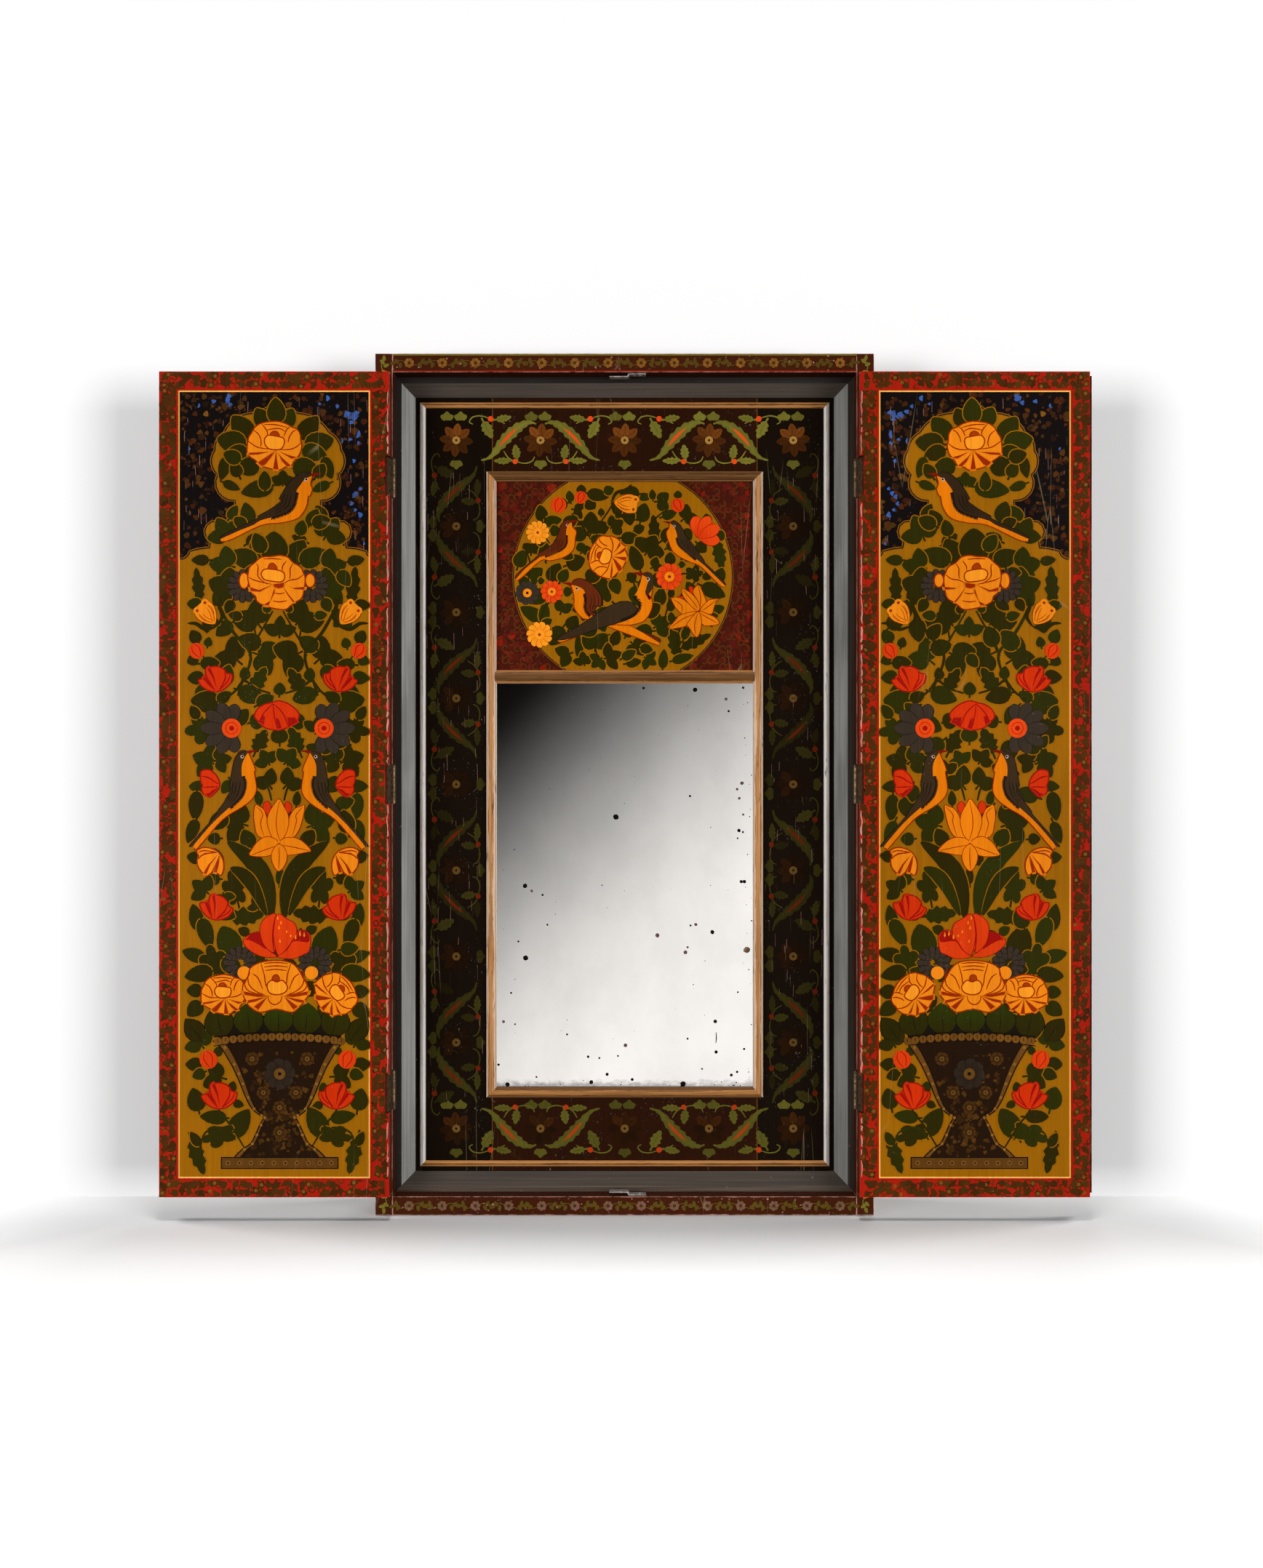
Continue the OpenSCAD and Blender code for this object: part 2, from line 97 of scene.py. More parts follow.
class CasePigments(bpy.types.PropertyGroup):
    """The painter's colours."""
    ochre: pigment("Ochre", "Ground of the doors and of the picture", 152, 95, 6)
    red: pigment("Border red", "Ground of the doors' borders", 164, 28, 12)
    scroll: pigment("Scroll brown", "Scrolls over the red border", 70, 38, 8)
    gold: pigment("Gold", "Fine lines and small flowers", 238, 176, 84)
    black: pigment("Spandrel black", "Ground above the arches", 16, 11, 10)
    blue: pigment("Blue", "Small flowers above the arches", 56, 92, 164)
    leaf: pigment("Leaf green", "Leaves and stems", 41, 34, 3)
    calyx: pigment("Calyx green", "Leaves at the urn's mouth", 44, 54, 6)
    yellow: pigment("Petal yellow", "Roses, lilies and buds", 233, 130, 18)
    pale: pigment("Petal light", "Lit parts of yellow petals", 243, 148, 32)
    sienna: pigment("Petal line", "Lines and shadows in yellow petals", 146, 38, 2)
    scarlet: pigment("Petal red", "Tulips and red buds", 202, 47, 6)
    coral: pigment("Petal coral", "Lit parts of red petals", 224, 68, 14)
    crimson: pigment("Red line", "Lines and shadows in red petals", 150, 14, 8)
    plum: pigment("Dark petal", "Daisies and carnations", 50, 41, 31)
    plum_line: pigment("Dark petal line", "Lines in dark petals", 28, 22, 15)
    wing: pigment("Wing", "Birds' backs and wings", 56, 40, 23)
    wing_brown: pigment("Brown wing", "Wings of two birds in the picture", 96, 38, 12)
    belly: pigment("Belly", "Birds' breasts and tails", 220, 115, 5)
    urn: pigment("Urn", "Body of the urn", 34, 19, 7)
    urn_gold: pigment("Urn gold", "Bands and rings on the urn", 120, 76, 24)
    panel: pigment("Panel", "Ground of the inner panel", 17, 8, 2)
    foliage: pigment("Arabesque", "Scrolling leaves on the inner panel", 128, 122, 44)
    vein: pigment("Arabesque red", "Veins and buds on the inner panel", 232, 74, 24)
    madder: pigment("Madder", "Ground in the picture's corners", 104, 25, 16)
    maroon: pigment("Case maroon", "Lacquer of the case boards", 62, 25, 8)
    rubbed: pigment("Rubbed edge", "Ground that shows where lacquer is rubbed off", 206, 152, 136)
    # The left bevel's slope shows this grey at full strength, as painted light; the other slopes take it
    # darker.
    bevel: pigment("Bevel grey", "Brushed paint of the bevel", 158, 157, 150)
    gilt: pigment("Gilt", "Gilding of the mouldings", 180, 122, 66)
    # Also a painted highlight: the pale rims of the upright mouldings and their near-white beads.
    silver: pigment("Rubbed gilt", "Gilding rubbed to its pale ground", 214, 188, 164)
    wood: pigment("Bare wood", "Planks at the back", 128, 92, 58)
    brass: pigment("Brass", "Hinges and keepers", 112, 88, 64)
    iron: pigment("Iron", "Nails and pins", 54, 48, 44)


class CaseSizes(bpy.types.PropertyGroup):
    """Sizes of the painted layout and of the photograph's view."""
    border: size("Door border", "Width of the red border on a door", 15.3)
    gold_line: size("Gold line", "Width of the line inside the border", 1.2)
    sprig_step: size("Sprig spacing", "From one small flower to the next on the case", 27)
    rosette_step: size("Rosette spacing", "From one rosette to the next on the inner panel", 71)
    medallion: size("Medallion radius", "Radius of the round field in the picture", 90.6)
    ledge: size("Ledge", "Width of the dark ledge outside the bevel", 5)
    view_distance: size("View distance", "From the camera to the front of the case", 1400)
    view_height: size("View height", "Height that the view takes in at the front of the case", 1274.2)


def colours():
    """The scene's pigments by name, in linear light."""
    chosen = bpy.context.scene.case_pigments

    def linear(channel):
        return channel / 12.92 if channel <= 0.04045 else ((channel + 0.055) / 1.055) ** 2.4

    names = CasePigments.__annotations__
    return {name: tuple(linear(c) for c in getattr(chosen, name)) + (1.0,) for name in names}


def lengths():
    """The scene's sizes by name, in millimetres."""
    chosen = bpy.context.scene.case_sizes
    return {name: getattr(chosen, name) / MM for name in CaseSizes.__annotations__}


def blended(first, second, share):
    """A colour part of the way from one pigment to another."""
    share = min(1.0, max(0.0, share))
    return tuple(a + (b - a) * share for a, b in zip(first, second))


# Curves on a flat face, in millimetres

def polar(radius, angle):
    """A step of some length in a direction given in degrees."""
    return radius * math.cos(math.radians(angle)), radius * math.sin(math.radians(angle))


def smooth_path(points, steps=5, closed=False):
    """Points along a smooth curve through a few chosen ones, and back to the first where it is closed."""
    padded = [points[-1], *points, *points[:2]] if closed else [points[0], *points, points[-1]]
    path = []
    for k in range(len(padded) - 3):
        a, b, c, d = (Vector(p) for p in padded[k:k + 4])
        for step in range(steps):
            t = step / steps
            bend = (2 * b + (c - a) * t + (2 * a - 5 * b + 4 * c - d) * t ** 2
                    + (3 * b - a - 3 * c + d) * t ** 3)
            path.append(tuple(bend / 2))
    return path if closed else [*path, tuple(points[-1])]


def arc(u, v, radius, start, end, steps=10):
    """Points along part of a circle, between two angles in degrees."""
    spots = (polar(radius, start + (end - start) * k / steps) for k in range(steps + 1))
    return [(u + x, v + y) for x, y in spots]


def ellipse(u, v, across, up, segments=14):
    """Points around an ellipse of two radii."""
    return [(u + across * x, v + up * y) for x, y in arc(0, 0, 1, 0, 360, segments)[:-1]]


def bulged(start, end, bulge, steps=6):
    """Points along a round arc from one point up to, but not at, another.

    Bulge is its height over its chord.
    """
    (u0, v0), (u1, v1) = start, end
    path = []
    for k in range(steps):
        t = k / steps
        half = 2 * math.atan(2 * bulge)
        if abs(bulge) < 0.01:
            x, y = t, 0.0
        else:
            angle = half * (2 * t - 1)
            x = 0.5 + 0.5 * math.sin(angle) / math.sin(half)
            y = 0.5 * (math.cos(angle) - math.cos(half)) / math.sin(half)
        path.append((u0 + (u1 - u0) * x - (v1 - v0) * y, v0 + (v1 - v0) * x + (u1 - u0) * y))
    return path


def encloses(outline, u, v):
    """Whether a point lies inside a closed outline."""
    inside = False
    for (u0, v0), (u1, v1) in zip(outline, [*outline[1:], outline[0]]):
        if (v0 > v) != (v1 > v) and u < u0 + (v - v0) * (u1 - u0) / (v1 - v0):
            inside = not inside
    return inside


def along(profile, t):
    """A width read off a profile of (place, width) pairs."""
    for (t0, w0), (t1, w1) in zip(profile, profile[1:]):
        if t <= t1:
            return w0 + (w1 - w0) * (t - t0) / (t1 - t0)
    return profile[-1][1]


def beside(path, i, off):
    """A point to the left of a path, or to its right if the distance is negative."""
    (u0, v0), (u1, v1) = path[max(i - 1, 0)], path[min(i + 1, len(path) - 1)]
    run = math.hypot(u1 - u0, v1 - v0) or 1
    return path[i][0] - (v1 - v0) / run * off, path[i][1] + (u1 - u0) / run * off


class Spot:
    """A place on a face with its own axes: a motif is drawn once and set anywhere, turned and sized."""

    def __init__(self, u, v, scale=1.0, turn=0.0, flip=1):
        self.u, self.v, self.scale, self.turn, self.flip = u, v, scale, turn, flip

    def __call__(self, x, y):
        du, dv = polar(math.hypot(x, y) * self.scale, self.heading(math.degrees(math.atan2(y, x))))
        return self.u + du, self.v + dv

    def heading(self, angle):
        """A direction in the motif, as a direction on the face."""
        return (angle if self.flip > 0 else 180 - angle) + self.turn

    def outline(self, points):
        """A motif's outline on the face."""
        return [self(x, y) for x, y in points]


class Face:
    """A flat painted face: millimetres across and up it, and out of it, in the frame's metres."""

    def __init__(self, origin, across, up, out, width, height):
        self.origin, self.across, self.up, self.out = Vector(origin), Vector(across), Vector(up), Vector(out)
        self.width, self.height = width, height

    def at(self, u, v, lift):
        """The point above a place on the face."""
        return self.origin + (self.across * u + self.up * v + self.out * lift) * MM

    def share(self, point):
        """Where a point lies over the face, as shares of its width and height."""
        off = (point - self.origin) / MM
        return off.dot(self.across) / self.width + 0.5, off.dot(self.up) / self.height


class Painting:
    """A painted layer on a face. Each stroke is a thin film that lies over the strokes before it."""

    def __init__(self, face, lift):
        self.face, self.lift = face, lift
        self.strokes, self.dry = [], []
        self.fresh()

    def fresh(self):
        """Starts an empty mesh for the next strokes."""
        self.bm = bmesh.new()
        self.pigment = self.bm.loops.layers.float_color.new("pigment")

    def set_aside(self):
        """Keeps the strokes made so far as a plain mesh."""
        mesh = bpy.data.meshes.new("strokes")
        self.bm.to_mesh(mesh)
        self.bm.free()
        self.dry.append(mesh)
        self.fresh()

    def over(self, points):
        """The height at which a stroke clears every stroke that it may cross."""
        if len(self.bm.verts) > FULL_SHEET:
            self.set_aside()
        us, vs = zip(*points)
        left, low, right, high = min(us), min(vs), max(us), max(vs)
        below = [lift for a, b, c, d, lift in self.strokes if a < right and left < c and b < high and low < d]
        lift = max(below, default=self.lift) + STROKE
        self.strokes.append((left, low, right, high, lift))
        return lift

    def patch(self, outline, fill, edge=None, edge_width=0.5):
        """A filled shape, with a line of another pigment along its edge where one is given."""
        lift = self.over(outline)
        made = bmesh.ops.create_circle(self.bm, cap_ends=True, segments=len(outline), radius=1)
        face = made["verts"][0].link_faces[0]
        for loop, (u, v) in zip(face.loops, outline):
            loop.vert.co = self.face.at(u, v, lift)
        face.normal_update()
        rims = []
        if edge:
            rims = bmesh.ops.inset_region(
                self.bm, faces=[face], thickness=edge_width * MM, use_even_offset=True)["faces"]
        for part, colour in [(face, fill), *((rim, edge) for rim in rims)]:
            for loop in part.loops:
                loop[self.pigment] = colour

    def sheet(self, columns, rows, place, tint):
        """A bent grid of paint.

        place(i, j) gives its points, and tint(cell, i, j) the colour at a cell's corner.
        """
        points = {(i, j): place(i, j) for i in range(columns + 1) for j in range(rows + 1)}
        lift = self.over(points.values())
        made = bmesh.ops.create_grid(self.bm, x_segments=columns, y_segments=rows, size=0.5)
        spots = {v: (round((v.co.x + 0.5) * columns), round((v.co.y + 0.5) * rows)) for v in made["verts"]}
        for vert, spot in spots.items():
            vert.co = self.face.at(*points[spot], lift)
        for face in {f for vert in spots for f in vert.link_faces}:
            corners = [spots[loop.vert] for loop in face.loops]
            cell = min(i for i, j in corners), min(j for i, j in corners)
            for loop, corner in zip(face.loops, corners):
                loop[self.pigment] = tint(cell, *corner)

    def strip(self, path, width, colour, taper=0.0):
        """A brush line along a path, thinner towards both ends where it tapers."""
        last = len(path) - 1

        def place(i, j):
            return beside(path, i, width / 2 * (1 - taper * abs(2 * i / last - 1) ** 2) * (2 * j - 1))

        self.sheet(last, 1, place, lambda cell, i, j: colour)

    def shape(self, spot, points, fill, line=None, pen=0.5):
        """A smooth closed shape of a motif, with a drawn line around it where one is given."""
        outline = spot.outline(smooth_path(points, 3, closed=True))
        self.patch(outline, fill)
        if line:
            self.strip([*outline, outline[0]], pen, line)

    def line(self, spot, points, pen, colour, taper=0.5):
        """A smooth drawn line of a motif."""
        self.strip(spot.outline(smooth_path(points, 3)), pen, colour, taper)

    def box(self, u0, v0, u1, v1, colour):
        """A plain rectangle of paint."""
        self.sheet(1, 1, lambda i, j: ((u0, u1)[i], (v0, v1)[j]), lambda cell, i, j: colour)

    def frame(self, u0, v0, u1, v1, width, colour):
        """Four lines around a rectangle, inside its edges."""
        self.box(u0, v0, u1, v0 + width, colour)
        self.box(u0, v1 - width, u1, v1, colour)
        self.box(u0, v0 + width, u0 + width, v1 - width, colour)
        self.box(u1 - width, v0 + width, u1, v1 - width, colour)

    def dot(self, u, v, radius, fill, edge=None, edge_width=0.4, segments=12):
        """A round dab of paint."""
        self.patch(ellipse(u, v, radius, radius, segments), fill, edge, edge_width)

    def petal(self, spot, base, heading, length, width, inks, bend=0.0, fullness=1.25, roundness=0.65,
              pen=0.55):
        """A petal from its base outwards. Inks are its line, base and tip."""
        line, root, tip = inks
        du, dv = polar(1, heading)
        rim = min(0.3, 2 * pen / (width * spot.scale))
        end = min(0.08, pen / (length * spot.scale))
        across = (-1, rim - 1, 0, 1 - rim, 1)
        steps = (0, end, 0.16, 0.32, 0.5, 0.66, 0.8, 0.91, 1 - end / 2, 1)
        last = len(steps) - 1

        def place(i, j):
            t, s = steps[i], across[j]
            half = max(0.06, math.sin(math.pi * t ** fullness) ** roundness) * width / 2 * s
            x, y = length * t, length * bend * t * t + half
            return spot(base[0] + du * x - dv * y, base[1] + dv * x + du * y)

        def tint(cell, i, j):
            if cell[0] in (0, last - 1) or cell[1] in (0, 3):
                return line
            return blended(root, tip, steps[i] * 1.4)

        self.sheet(last, 4, place, tint)

    def done(self, name, body):
        """Gives the films their thickness and hands over one piece that rides on a body."""
        bm, face = self.bm, self.face
        for mesh in self.dry:
            bm.from_mesh(mesh)
            bpy.data.meshes.remove(mesh)
        grown = bmesh.ops.extrude_face_region(bm, geom=bm.faces[:], use_keep_orig=True)["geom"]
        tops = [part for part in grown if isinstance(part, bmesh.types.BMVert)]
        bmesh.ops.translate(bm, verts=tops, vec=face.out * FILM * MM)
        bmesh.ops.recalc_face_normals(bm, faces=bm.faces[:])
        chart = bm.loops.layers.uv.new("OFBake")
        for part in bm.faces:
            for loop in part.loops:
                loop[chart].uv = face.share(loop.vert.co)

        def drawn(part):
            return part.calc_center_median().dot(face.out) if part.normal.dot(face.out) > 0.5 else -1.0

        bm.faces.sort(key=drawn)
        mesh = bpy.data.meshes.new(name)
        bm.to_mesh(mesh)
        bm.free()
        piece = bpy.data.objects.new(name, mesh)
        bpy.context.scene.collection.objects.link(piece)
        mesh.materials.append(paint_material())
        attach(piece, body)


# Motifs, drawn in millimetres about their middles unless they say otherwise

def yellow_inks():
    """Line, body and light of a yellow petal."""
    hue = colours()
    return hue["sienna"], hue["yellow"], hue["pale"]


def red_inks():
    """Line, body and light of a red petal."""
    hue = colours()
    return hue["crimson"], hue["scarlet"], hue["coral"]


def dark_inks():
    """Line, body and light of a dark petal."""
    hue = colours()
    return hue["plum_line"], hue["plum"], blended(hue["plum"], hue["rubbed"], 0.012)


def leaf_outline(length, width, point=0.5, segments=16):
    """A leaf about its middle, round at its stalk and pointed at its tip."""
    angles = [2 * math.pi * k / segments for k in range(segments)]
    return [(length / 2 * math.cos(a), width / 2 * math.sin(a) * (0.25 + math.sin(a / 2) ** point))
            for a in angles]


def lobed_outline(length, width, lobes, depth, segments):
    """A rounded shape with scalloped lobes."""
    shape = []
    for k in range(segments):
        angle = 2 * math.pi * k / segments
        reach = 1 - depth * (1 - abs(math.cos(lobes * angle / 2)))
        shape.append((length / 2 * reach * math.cos(angle), width / 2 * reach * math.sin(angle)))
    return shape


def serrated_outline(length, width, teeth=4, steps=3):
    """A long leaf with teeth that point towards its tip."""
    side = []
    for k in range(1, teeth * steps):
        t = k / (teeth * steps)
        tooth = 0.68 + 0.32 * ((k % steps) / (steps - 1))
        side.append((length * (t - 0.5), width / 2 * math.sin(math.pi * t ** 0.8) ** 0.7 * tooth))
    return [(-length / 2, 0), *side, (length / 2, 0), *((x, -y) for x, y in reversed(side))]


HALO = 1.7  # bare ground left round a leaf


def leaf(painting, spot, length, width, kind, colour, halo=None, point=0.8):
    """One leaf of the painter's few kinds, about its middle and pointing along its spot.

    A halo of bare ground keeps it apart from the leaves under it.
    """
    turns = {"heart": (40, -40), "trefoil": (70, -70, 0)}.get(kind, (0,))
    single = len(turns) == 1
    reach = length if single else length * 0.64
    breadth = width if single else width * 0.6
    stalk = -length / 2 if single else -length * 0.16
    if kind == "serrated":
        shape = serrated_outline(length, width)
    elif kind in ("oval", "heart", "trefoil"):
        shape = leaf_outline(reach, breadth, point)
    else:
        shape = lobed_outline(length, width, 5, 0.4, 30)
    blades = []
    for turn in turns:
        blade = Spot(*spot(stalk, 0), 1, spot.heading(turn))
        blades.append([blade(x + reach / 2, y) for x, y in shape])
    if halo:
        for blade in blades:
            painting.strip([*blade, blade[0]], HALO, halo)
    painting.strip([spot(stalk - length * 0.2, 0), spot(stalk + reach * 0.3, 0)], min(1.6, width / 5), colour)
    for blade in blades:
        painting.patch(blade, colour)


def spread(points, share):
    """A shape drawn larger about its middle."""
    u, v = (sum(places) / len(points) for places in zip(*points))
    return [(u + (x - u) * share, v + (y - v) * share) for x, y in points]


def mirrored(paths):
    """Paths of a motif, followed by their mirror images."""
    return (*paths, *(tuple((-x, y) for x, y in path) for path in paths))


TOP_ROSE = {
    "outline": (
        (-15, 14.5), (-9.7, 17.6), (1.3, 19), (9.2, 17.2), (14, 14.5), (18.5, 12.6), (21, 8.4), (21.3, 3.3),
        (22.2, -0.4), (21, -6.2), (18.5, -10), (15.8, -13.2), (13.6, -17), (9.2, -17.6), (4.4, -20.2),
        (-3, -19), (-9.7, -16.7), (-14.5, -12.6), (-18.5, -10), (-21.3, -7), (-21.6, -2.2), (-20.5, 5.5),
        (-18.3, 9.2), (-16.5, 12.6)),
    "shadows": (
        ((-4, -5.5), (-20, -6.3), (-20.5, -8), (-12.8, -7.7)),
        ((0.6, -5.2), (-12.8, -14), (-9.7, -17), (-6.8, -15.5), (-2.4, -10)),
        ((1.8, -5.2), (-0.2, -16.3), (-0.6, -19.2), (3.5, -19.6), (2, -9.7)),
        ((3, -5.9), (6.5, -13.2), (10.6, -17.4), (13.5, -16.6), (5.7, -9.6)),
        ((4.6, -5.2), (14, -11), (18.5, -10), (11.3, -8))),
    "lines": (
        ((-10, 17), (-5.7, 11.4), (-5.3, 8)), ((12.8, 14.5), (10, 12), (8, 7)),
        ((-8, 16.3), (0.6, 16.3), (10.6, 14)),
        ((-5.7, 12), (0, 13), (5, 13), (9, 10.7)), ((-16.5, 12), (-12, 8), (-10.3, 2), (-11, -1.5)),
        ((-21, 3.3), (-16.5, 0), (-12, -2.2), (-4, -3.3)),
        ((21.3, 1.5), (18, -1.5), (12.3, -3.7), (4.3, -3.7)),
        ((17.6, 12), (14.5, 10), (12, 5.5), (11.3, 2))),
    "notch": ((-2.8, 7), (-2.2, 9.9), (0.7, 11), (3, 9.9), (4, 7)),
    "cup": ((-5, 7.7), (-7.5, 4.8), (-7.4, 1), (-5.3, -2.2), (-1.8, -3.7), (4.3, -3.7), (7.2, -1.5),
            (8.4, 2.6), (7.5, 5.5), (4, 6.6), (-1.8, 7.7)),
}
EARED_ROSE = {
    "ears": (((-26, 1.2), (3.9, 6.4)), ((26.9, 1.4), (3.9, 5.5))),
    "outline": (
        (-22.5, 8.5), (-21.5, 12), (-17, 16), (-12, 20), (-3.7, 20.6), (2.7, 21.5), (9, 20), (13.3, 15.7),
        (19, 12.3), (21.3, 8), (23, 3), (22, -6.5), (20, -12.8), (15.3, -16), (11, -19), (8, -21.5),
        (2.7, -21.8), (-7.5, -19.6), (-15.2, -15.7), (-16.7, -11.4), (-20.6, -8), (-21.5, -3.7), (-23, 2.7)),
    "shadows": (
        ((-4, -2.2), (-14, -6.3), (-21, -4), (-20.6, -7), (-13.3, -7.6)),
        ((-1.9, -5), (-5, -15), (-10.4, -18), (-6.5, -18.6), (-1.4, -8)),
        ((6.5, -1.2), (13.3, -4.6), (22.5, -3.7), (22, -6), (14.7, -5.5)),
        ((5.5, -4), (9, -10.4), (13, -15.7), (14.7, -15.7), (11, -11.4)),
        ((-2.4, -1.7), (6, -0.5), (5.5, -4), (1.7, -5), (-1.7, -4))),
    "lines": (
        ((-16, 15), (-14.7, 12.3), (-15, 8.5), (-14.3, 3.7), (-7.5, -1.7)),
        ((-22.5, 4), (-18, 1.7), (-12.3, 0.2), (-4, -1.7)),
        ((13.3, 15), (11, 11), (11, 5.5), (10.4, 2.7)), ((21.3, 6), (17, 2.7), (11, 1.7), (6.5, -0.5)),
        ((-10.4, 18.6), (-3, 19), (4, 18.2)), ((4.6, 9.4), (5, 13), (8, 17.2)),
        ((-1.4, -8.7), (2.5, -9.3), (6.5, -8.5)),
        ((-3, -15), (2.5, -15.8), (8.5, -14.8))),
    "notch": ((-6.5, 10.5), (-5.5, 14.3), (-3, 15.2), (-0.7, 13.3), (0.2, 10.5)),
    "cup": ((-12.3, 6.5), (-10.4, 9.9), (-5.5, 10.6), (3.7, 9), (6.5, 6), (6, 2.2), (2.7, 0.2), (-6.5, 1.2),
            (-10.4, 2.7)),
}
PEONY = {
    "outline": (
        (-21.4, 8.5), (-20.5, 13.8), (-12.5, 18.3), (0, 20), (11.6, 18.3), (17.8, 13), (21.8, 5.8), (25, 0.4),
        (26.7, -5.8), (24, -11), (17.8, -18.3), (12.5, -21.7), (0, -19), (-12.5, -21.7), (-20.5, -17.4),
        (-23.2, -13.8), (-26.3, -7.6), (-26.3, 0.4), (-23.2, 5.8)),
    "shadows": mirrored((
        ((-25.8, -4.8), (-16, -7), (-6.3, -8.5), (-14.3, -9.3), (-25, -7.6)),
        ((-7, -9.5), (-17.5, -17), (-14, -19.5)),
        ((-8, -9.3), (-16, -12.9), (-23, -14.3), (-22, -12)))),
    "lines": (
        *mirrored((((-12, 17.4), (-9.3, 8.5), (-8, 0.4), (-3.6, -7.6)),
                   ((-20.5, 13.8), (-22.3, 7.4), (-21.4, 0.4), (-16, -4.8), (-9, -7.6)),
                   ((-18.7, 9.3), (-14.3, 5.8), (-10.6, -3.2)),
                   ((-23.2, 4.8), (-25, 0.4), (-21.4, -4.8), (-10.6, -7.6)))),
        ((-9.5, 17.5), (0, 18.3), (9.5, 17.5)), ((-9.5, 14.6), (0, 15.6), (9.5, 14.6)),
        ((-8.5, 11.8), (0, 12.8), (8.5, 11.8)),
        ((-6.3, -8.5), (-5.3, -13), (-1, -15.6), (3.6, -13), (4.8, -8.5))),
    "notch": ((-2.7, 4), (-2, 7.6), (0, 8.4), (2, 7.6), (2.7, 4)),
    "cup": ((-7, 0.4), (-3.6, 4), (0.9, 2.7), (5.3, 4), (9.3, -1.3), (7, -5.8), (0.9, -7.6), (-5.3, -5.8)),
}
TULIP = {
    "outline": (
        (-15, 3), (-13, -4), (-6, -9.4), (0, -10.6), (6.3, -9.2), (12, -5), (15, 0.5), (10.4, 2.2), (8, 4.5),
        (7.7, 10), (3.4, 11.3), (-3.4, 11), (-8.7, 7.7), (-10.5, 4.5)),
    "shadows": (
        ((-9.5, 3.5), (-9, -1), (-4, -8.5), (-7.5, -1)),
        ((3.8, 10.6), (1, 3), (-0.5, -8.5), (2.2, 2), (6, 9.5)),
        ((8.6, 3.4), (5, -3), (2, -9), (6.5, -4), (10.8, 1.8))),
    "lines": (((-13, 3), (-11, -2), (-3, -9.4)), ((-8.7, 7.2), (-8.5, 0), (-2.5, -9.4)),
              ((8, 6), (6, 0), (1, -9.4))),
}
CLOSED_TULIP = {
    "outline": (
        (-12.6, 0.4), (-12.2, 6.9), (-8, 8.7), (-1.6, 8.7), (1.6, 7.7), (5.7, 8.7), (9.8, 6.9), (13, 2),
        (9.8, -3), (5, -7.8), (0.8, -8.6), (-5, -7), (-9.8, -3.6)),
    "shadows": (((9.8, 5.8), (12.2, 2), (8, -3.5), (4.8, -7), (8.6, -0.5)),
                ((-6.6, 6), (-5.2, 2), (-0.5, -4.4), (1.6, -7.4), (-3, -1))),
    "lines": (((-7.3, 8), (-5.7, 2), (-0.8, -4.4), (1.6, -8)), ((3.3, 7), (3.6, 0.4), (4, -7)),
              ((13, 2.9), (8, -0.4), (5, -7))),
}
HANGING_FLOWER = {
    "outline": (
        (-3.6, 10.6), (2, 12), (10.2, 9), (16.8, 3.2), (17.6, -1.6), (12.7, -7.2), (2, -11.5), (-9.4, -9.7),
        (-14.4, -5), (-18, -0.7), (-15.8, 5), (-10.2, 9)),
    "shadows": (
        ((8.6, -1.6), (9.4, -9), (16.8, -5), (14.4, -1.6)),
        ((-0.7, -2), (0.4, -10.6), (3.6, -9.5), (1.5, -3)),
        ((-11.5, 0), (-14.4, -5), (-10.6, -7), (-9.5, -1))),
    "lines": (((-3.2, 9.7), (-10.2, 2.5), (-14.4, -5)), ((-3.2, 9.7), (-2, -0.7), (0.4, -10.6)),
              ((-3.2, 9.7), (4.5, 2.5), (9.4, -9))),
}


def drawn_flower(painting, spot, drawing, inks, pen=1.0):
    """A flower drawn as one outline, with shadows between its petals, lines along them and its heart."""
    line, fill, light = inks
    for place, radii in drawing.get("ears", ()):
        painting.shape(spot, ellipse(*place, *radii, 8), fill, line, pen)
    painting.shape(spot, drawing["outline"], fill, line, pen)
    for shadow in drawing["shadows"]:
        painting.patch(spot.outline(spread(shadow, 1.3)), blended(fill, line, 0.35))
        painting.patch(spot.outline(shadow), line)
    for path in drawing["lines"]:
        painting.line(spot, path, pen, line)
    for part, ink in (("notch", blended(fill, line, 0.9)), ("cup", light)):
        if part in drawing:
            painting.shape(spot, drawing[part], ink, line, pen)


# The large tulip's petals, back to front: outline, and the shadow inside its fold where it has one
GREAT_TULIP = (
    (((0, -16), (-11, -16.2), (-20, -12.4), (-26.4, -6.3), (-26.4, -1.8), (-20, 2.7), (-13, 3), (-7.6, -9.7)),
     ((-25.4, -2.7), (-20, 2.7), (-13, 2.7), (-8.5, -9.7), (-13.8, -7), (-18.4, -4.5), (-22.7, -2.7))),
    (((0, -16), (12, -17.8), (21, -14.3), (25.4, -11.6), (26.8, -1.8), (24.5, 3.6), (18.3, 5.4), (14.7, 0.9),
      (7.6, -10.8)),
     ((7.6, -9.7), (12, -4.5), (16.5, -3.6), (24.5, -4.5), (26, -1), (23.8, 3.6), (18.3, 5), (14.7, -0.9))),
    (((-2.2, -12.5), (-10.3, -7), (-13.4, 1.8), (-13.4, 9), (-9.4, 15), (-1.4, 18.3), (-1, 6.3)), None),
    (((0, -14), (-3, 1.8), (-2.2, 12.4), (1.4, 18.3), (7.6, 14.3), (13.8, 10.7), (15.7, 3.6), (11.2, -4.5),
      (5.8, -12)), None),
)
TULIP_FLAKES = ((0.4, 14.6, 2.6), (3, 10.8, 2), (1.4, 6.7, 2.6), (7.6, 3.6, 1.8), (10.8, 0.4, 1.6),
                (2.2, -4, 2), (14.7, -0.9, 3), (18.3, 1.8, 3.6), (21.6, 0.9, 3))


